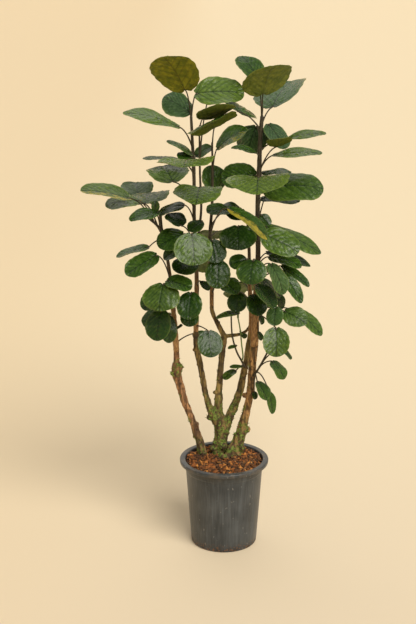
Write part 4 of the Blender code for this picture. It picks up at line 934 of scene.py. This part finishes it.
stem_finish = Finish("shoot skin", 0.55)
mottle = stem_finish.place.stretched(1, 1, 0.35).cloud(300).between(0.35, 0.7)
stem_age = stem_finish.height().between(0.5, 1.25)
stem_skin = mottle.blend((0.018, 0.014, 0.007), (0.064, 0.051, 0.025))
stem_skin = (stem_finish.painted("stalk") * 0.75).blend(stem_skin, mottle.blend((0.024, 0.017, 0.008), (0.066, 0.054, 0.020)))
woody = mottle.blend((0.20, 0.095, 0.032), (0.50, 0.29, 0.11))
stem_skin = (stem_finish.height().between(0.84, 0.60) * (1 - stem_finish.painted("stalk"))).blend(stem_skin, woody)
stem_skin = stem_finish.painted("green").blend(stem_skin, mottle.blend((0.09, 0.15, 0.03), (0.20, 0.30, 0.07)))
stem_finish.wear(Base_Color=(stem_finish.painted("scar") * 0.5).blend(stem_skin, (0.16, 0.12, 0.09)))
stem_finish.bumped(stem_finish.place.cloud(700, 2), 0.0003, 0.5)

for node, leaves in grown.items():
    stems = Shell("stalk", "green", "scar")
    joints = [joint for _, joint, _ in leaves]
    for key, limb in LIMBS.items():
        for owner, route in pieces_of(limb):
            if owner != node:
                continue
            swollen = []
            for place, radius in route:
                near = min((joint - place).length for joint in joints)
                swollen.append((place, radius * (1 + 0.16 * math.exp(-(near / 0.004) ** 2))))
            if limb.points[-1].radius < 0.006:
                ahead = (route[-1][0] - route[-2][0]).normalized()
                for run, share in ((0.0015, 0.92), (0.003, 0.75), (0.0045, 0.48), (0.006, 0.14)):
                    swollen.append((route[-1][0] + ahead * run, route[-1][1] * share))
            stems.tube(swollen, 18, stalk=0.0 if limb.wood else 1.0, green=1.0 if key == "green_twig" else 0.0)
    for number, joint, blade in leaves:
        places = stalk_route(joint, blade)
        last = len(places) - 1
        route = []
        for i, place in enumerate(places):
            share = i / last
            radius = stalk_radius * (1.0 + 0.9 * (1 - share) ** 6 + 0.12 * share ** 4)
            route.append((place, radius * (0.55 if i == last else 1)))
        stems.tube(route, 10, stalk=1.0, green=1.0 if number > 111 else 0.0)
    shown(node.replace("shoot", "stems").replace("twig", "stems_on_twig"), stems.mesh(node), stem_finish, "foliage", node)


# Blades: leathery round leaves, puckered between sunken veins, glossy and dark on top and duller
# underneath. The oldest have yellowed rims. Painted highlights light the puckers' tops, painted shade
# darkens the creases, the leaves in the light are paler with painted light, some carry a painted bluish
# sheen, and the undersides are brightened as painted light shining through.

# Looks of single leaves, by their number in the order above, from 0 to 1.
# Leaves in the light: their pale tint is painted light, heaviest on the puckers' tops.
lit_leaves = {1: 0.7, 2: 0.9, 3: 0.9, 8: 0.35, 18: 0.5, 20: 0.8, 22: 0.7, 27: 1.0, 28: 0.8, 29: 0.8, 34: 0.3,
               73: 0.7, 75: 0.8, 77: 1.0, 79: 0.25, 83: 0.35, 84: 0.35, 88: 0.3, 92: 0.3, 94: 0.45, 95: 0.45, 99: 0.4,
               109: 0.7, 110: 0.7, 111: 0.8, 112: 0.8, 113: 1.0}
# A painted bluish sheen, the reflection of the light, on these leaves.
sheen_leaves = {18: 0.4, 21: 0.6, 28: 0.5, 69: 0.7, 71: 1.0, 72: 1.0, 88: 0.8, 93: 0.6, 94: 0.4}
yellow_leaves = {1: 0.5, 3: 0.4, 46: 0.35, 49: 0.75}
olive_leaves = {19: 1.0, 42: 0.25, 45: 0.3, 68: 0.35, 74: 0.3}
shaded_leaves = (16, 17, 30, 31, 35, 40, 41, 44, 53, 54, 60, 61, 62, 63, 64, 65, 66, 101, 102, 103)
dark_leaves = (11, 12, 36, 37, 38, 50, 51, 55, 56, 58, 59, 91, 96, 98)

cell = 0.0023
hidden_cell = 0.0036
pucker = 0.0096
pucker_height = 0.0030
wrinkle = 0.0042
wrinkle_height = 0.0003
vein_width = 0.0017
# Veins: where each leaves the midrib, as a share of the length, and how far it leans forward.
veins = ((0.0, -0.35), (0.0, 0.25), (0.02, 0.9), (0.16, 0.95), (0.32, 1.0), (0.48, 1.1), (0.64, 1.2), (0.80, 1.4))


def vein_at(across, forward, length, width):
    """How near this is to a vein, from 0 to 1, and the same for the midrib alone."""
    rib = math.exp(-(across / vein_width) ** 2)
    nearest = 1.0
    for start, lean in veins:
        line = start * length + lean * abs(across) + abs(across) ** 2 * 4.0
        nearest = min(nearest, abs(forward - line) / math.sqrt(1 + lean * lean))
    side = math.exp(-(nearest / (vein_width * 0.8)) ** 2) * (1 - 0.6 * abs(across) / width * 2)
    return max(side, rib), rib


class Leaves(Shell):
    def blade(self, blade, **values):
        """One leaf blade: a thin closed sheet, whose top and underside follow the same puckers."""
        size = hidden_cell if values["shade"] else cell
        rows = max(12, round(blade.length / size))
        columns = max(10, round(blade.width / size / 2) * 2)
        start = len(self.corners)
        own = Vector((blade.phase * 7, blade.arch * 90, 0))
        for row in range(rows + 1):
            share = row / rows
            for column in range(columns + 1):
                side = math.sin(math.pi / 2 * (2 * column / columns - 1)) * 0.35 + (2 * column / columns - 1) * 0.65
                across, forward, rise = blade_point(blade, side, share)
                across *= 1 + 0.016 * abs(side) ** 3 * (math.sin(46 * share + blade.phase) - 1)
                vein, rib = vein_at(across, forward, blade.length, blade.width)
                spot = Vector((across * 0.82, forward - 0.55 * abs(across), 0))
                near = noise.voronoi(spot / pucker + own)[0]
                small = noise.voronoi(spot / wrinkle + own)[0]
                dome = min(near[1] - near[0], 1.0) ** 0.75
                small_dome = soft_step(small[1] - small[0], 0.0, 0.5)
                edge = max(soft_step(abs(side), 0.84, 1.0), soft_step(share, 0.95, 1.0))
                lift = (pucker_height * (dome * (1 - vein) - 0.35) + wrinkle_height * small_dome) * (1 - edge)
                # The dome, scaled by the small wrinkles, is also painted on the mesh as the mask of the painted
                # highlight on the puckers' tops.
                dome *= 0.6 + 0.4 * small_dome
                lift *= soft_step(share, 0.0, 0.08)
                place = (blade.base + blade.along * forward + blade.across * across
                         + blade.normal * (rise + lift - 0.0004 * vein))
                half = blade_thick / 2 * (1 - 0.55 * edge)
                for corner in (place + blade.normal * half,
                               place - blade.normal * (half + 0.0007 * rib * (1 - share))):
                    self.corners.append([min(max(c, low), high) for c, low, high in zip(corner, *cad_box)])
                for name, number in (("vein", vein), ("dome", dome), ("edge", edge)):
                    self.painted[name] += [number, number]
                self.painted["under"] += [0.0, 1.0]
                for name in ("pale", "blue", "shade", "olive", "tone"):
                    self.painted[name] += [values[name]] * 2
                lower = side if blade.across.z < 0 else -side
                self.painted["yellow"] += [values["yellow"] * soft_step(lower, -0.35, 0.55)] * 2
        across_one = 2 * (columns + 1)
        for row in range(rows):
            for column in range(columns):
                low = start + row * across_one + 2 * column
                quad = (low, low + 2, low + 2 + across_one, low + across_one)
                self.faces += [quad, tuple(corner + 1 for corner in reversed(quad))]
        for column in range(columns):
            low = start + 2 * column
            high = low + rows * across_one
            self.faces += [(low + 2, low, low + 1, low + 3), (high, high + 2, high + 3, high + 1)]
        for row in range(rows):
            low = start + row * across_one
            high = low + 2 * columns
            self.faces += [(low, low + across_one, low + 1 + across_one, low + 1),
                           (high + across_one, high, high + 1, high + 1 + across_one)]


leaf_finish = Finish("leaf", 0.35)
vein = leaf_finish.painted("vein")
dome = leaf_finish.painted("dome")
tone = leaf_finish.painted("tone")
mottle = leaf_finish.place.cloud(75, 3).between(0.34, 0.68)
net = leaf_finish.place.node("TexVoronoi", {"feature": "DISTANCE_TO_EDGE"}, {"Vector": leaf_finish.place, "Scale": 420.0})
green = tone.blend((0.017, 0.055, 0.005), (0.052, 0.125, 0.012))
# Lighter green on the puckers' tops: a painted highlight.
green = (dome * tone.between(-0.6, 0.8) * (0.6 + mottle * 0.7)).blend(green, (0.130, 0.250, 0.026))
# Painted light on the leaves in the light, strongest on the puckers' tops.
green = (leaf_finish.painted("pale") * (0.25 + dome * 0.5)).blend(green, (0.27, 0.35, 0.055))
# Painted bluish sheen, strongest on the puckers' tops.
green = (leaf_finish.painted("blue") * (0.25 + dome * 0.40)).blend(green, (0.100, 0.175, 0.115))
green = (leaf_finish.painted("shade") * 0.7).blend(green, (0.006, 0.018, 0.003))
# Darker along the veins and in the creases: the veins' own dark green, and painted shade in the creases.
green = (vein * 0.7 + (1 - dome) * 0.3).blend(green, (0.006, 0.022, 0.003))
green = (leaf_finish.painted("edge") * 0.30).blend(green, (0.22, 0.30, 0.06))
green = ((leaf_finish.painted("yellow") + mottle * 0.5).between(0.45, 1.05) * 0.85).blend(green, (0.37, 0.30, 0.028))
olive = mottle.blend((0.130, 0.150, 0.008), (0.270, 0.260, 0.014))
olive = (vein * 0.6).blend(olive, (0.040, 0.028, 0.006))
# The undersides are a paler green than the tops, brightened further as painted light shining through the blade.
back = mottle.blend((0.060, 0.105, 0.014), (0.115, 0.170, 0.030))
# Painted light on the undersides of the leaves in the light.
back = (leaf_finish.painted("pale") * 0.8).blend(back, (0.24, 0.30, 0.095))
back = (vein * 0.5).blend(back, (0.10, 0.12, 0.03))
back = leaf_finish.painted("olive").blend(back, olive)
leaf_colour = leaf_finish.painted("under").blend(green, back)
leaf_finish.wear(Base_Color=leaf_colour, Roughness=0.20 + mottle * 0.10 + leaf_finish.painted("under") * 0.35)
leaf_finish.wear(Specular_IOR_Level=0.38)
leaf_finish.bumped(net.between(0.0, 0.25) + mottle * 0.5, 0.0003, 0.3)

for node, leaves in grown.items():
    foliage = Leaves("vein", "dome", "edge", "under", "pale", "blue", "yellow", "shade", "olive", "tone")
    for number, joint, blade in leaves:
        foliage.blade(blade, pale=lit_leaves.get(number, 0.0), blue=sheen_leaves.get(number, 0.0),
                      yellow=yellow_leaves.get(number, 0.0), olive=olive_leaves.get(number, 0.0),
                      shade=float(number in shaded_leaves),
                      tone=0.0 if number in dark_leaves else random.Random(number).uniform(0.2, 1.0))
    shown(node.replace("shoot", "leaves").replace("twig", "leaves_on_twig"), foliage.mesh(node), leaf_finish,
          "foliage", node)


# Studio: a pale cream floor that curves up far off, painted darker towards the camera and to the left
# as painted shade, soft light all round, a large soft light above the camera's right, and the camera at
# the photograph's height and angle.

floor_reach = 45.0
cove = 15.0
cove_steps = 12
floor_sides = 96
floor_profile = [(0.0, 0.0), (3.0, 0.0), (15.0, 0.0)]
for step in range(cove_steps + 1):
    turn = math.pi / 2 * step / cove_steps
    floor_profile.append((floor_reach + cove * math.sin(turn), cove * (1 - math.cos(turn))))
floor_profile.append((floor_reach + cove, cove + 4.0))
floor_corners = [(reach * math.cos(math.tau * side / floor_sides), reach * math.sin(math.tau * side / floor_sides), rise)
                 for side in range(floor_sides) for reach, rise in floor_profile]
rings = len(floor_profile)
floor_faces = [(this, (this + rings) % len(floor_corners), (this + 1 + rings) % len(floor_corners), this + 1)
               for start in range(0, len(floor_corners), rings) for this in range(start, start + rings - 1)]
floor_mesh = worked(mesh_of("floor", floor_corners, floor_faces), ("WELD", {"merge_threshold": 0.001}))
floor_mesh.shade_smooth()
floor = bpy.data.objects.new("floor", floor_mesh)
bpy.context.scene.collection.objects.link(floor)
floor.location.z = -0.0002
cream = Finish("cream floor", 0.9)
across = cream.start.node("SeparateXYZ", {}, {0: cream.place}, out="X")
away = cream.start.node("SeparateXYZ", {}, {0: cream.place}, out="Y")
# Painted shade: the floor is darker towards the camera, and darker and warmer to the left.
pale = away.between(-2.0, 2.5).blend((0.775, 0.655, 0.495), (0.855, 0.730, 0.525))
cream.wear(Base_Color=(across.between(0.3, -1.2) * 0.6).blend(pale, (0.765, 0.610, 0.400)), Specular_IOR_Level=0.1)
floor_mesh.materials.append(cream.material)

world = bpy.data.worlds.new("studio")
bpy.context.scene.world = world
world.use_nodes = True
world.node_tree.nodes["Background"].inputs["Color"].default_value = (1.0, 0.96, 0.88, 1)
world.node_tree.nodes["Background"].inputs["Strength"].default_value = 0.36


def soft_light(name, towards, spread, strength, colour):
    """A large far soft light, which shines from this direction and looks this many degrees wide."""
    lamp = bpy.data.lights.new(name, "SUN")
    lamp.angle = math.radians(spread)
    lamp.energy = strength
    lamp.color = colour
    light = bpy.data.objects.new(name, lamp)
    bpy.context.scene.collection.objects.link(light)
    light.rotation_euler = Vector(towards).to_track_quat("Z", "Y").to_euler()


soft_light("key", (0.36, -0.62, 0.70), 42, 2.75, (1.0, 0.95, 0.86))
soft_light("back", (-0.15, 0.72, 0.75), 60, 0.5, (1.0, 0.97, 0.92))

camera_data = bpy.data.cameras.new("camera")
camera_data.lens = 76.85
camera = bpy.data.objects.new("camera", camera_data)
bpy.context.scene.collection.objects.link(camera)
camera.location = (eye_side, -eye_back, eye_height)
camera.rotation_euler = (math.radians(90 - 16.94), 0, 0)
bpy.context.scene.camera = camera
bpy.context.scene.view_settings.view_transform = "Standard"
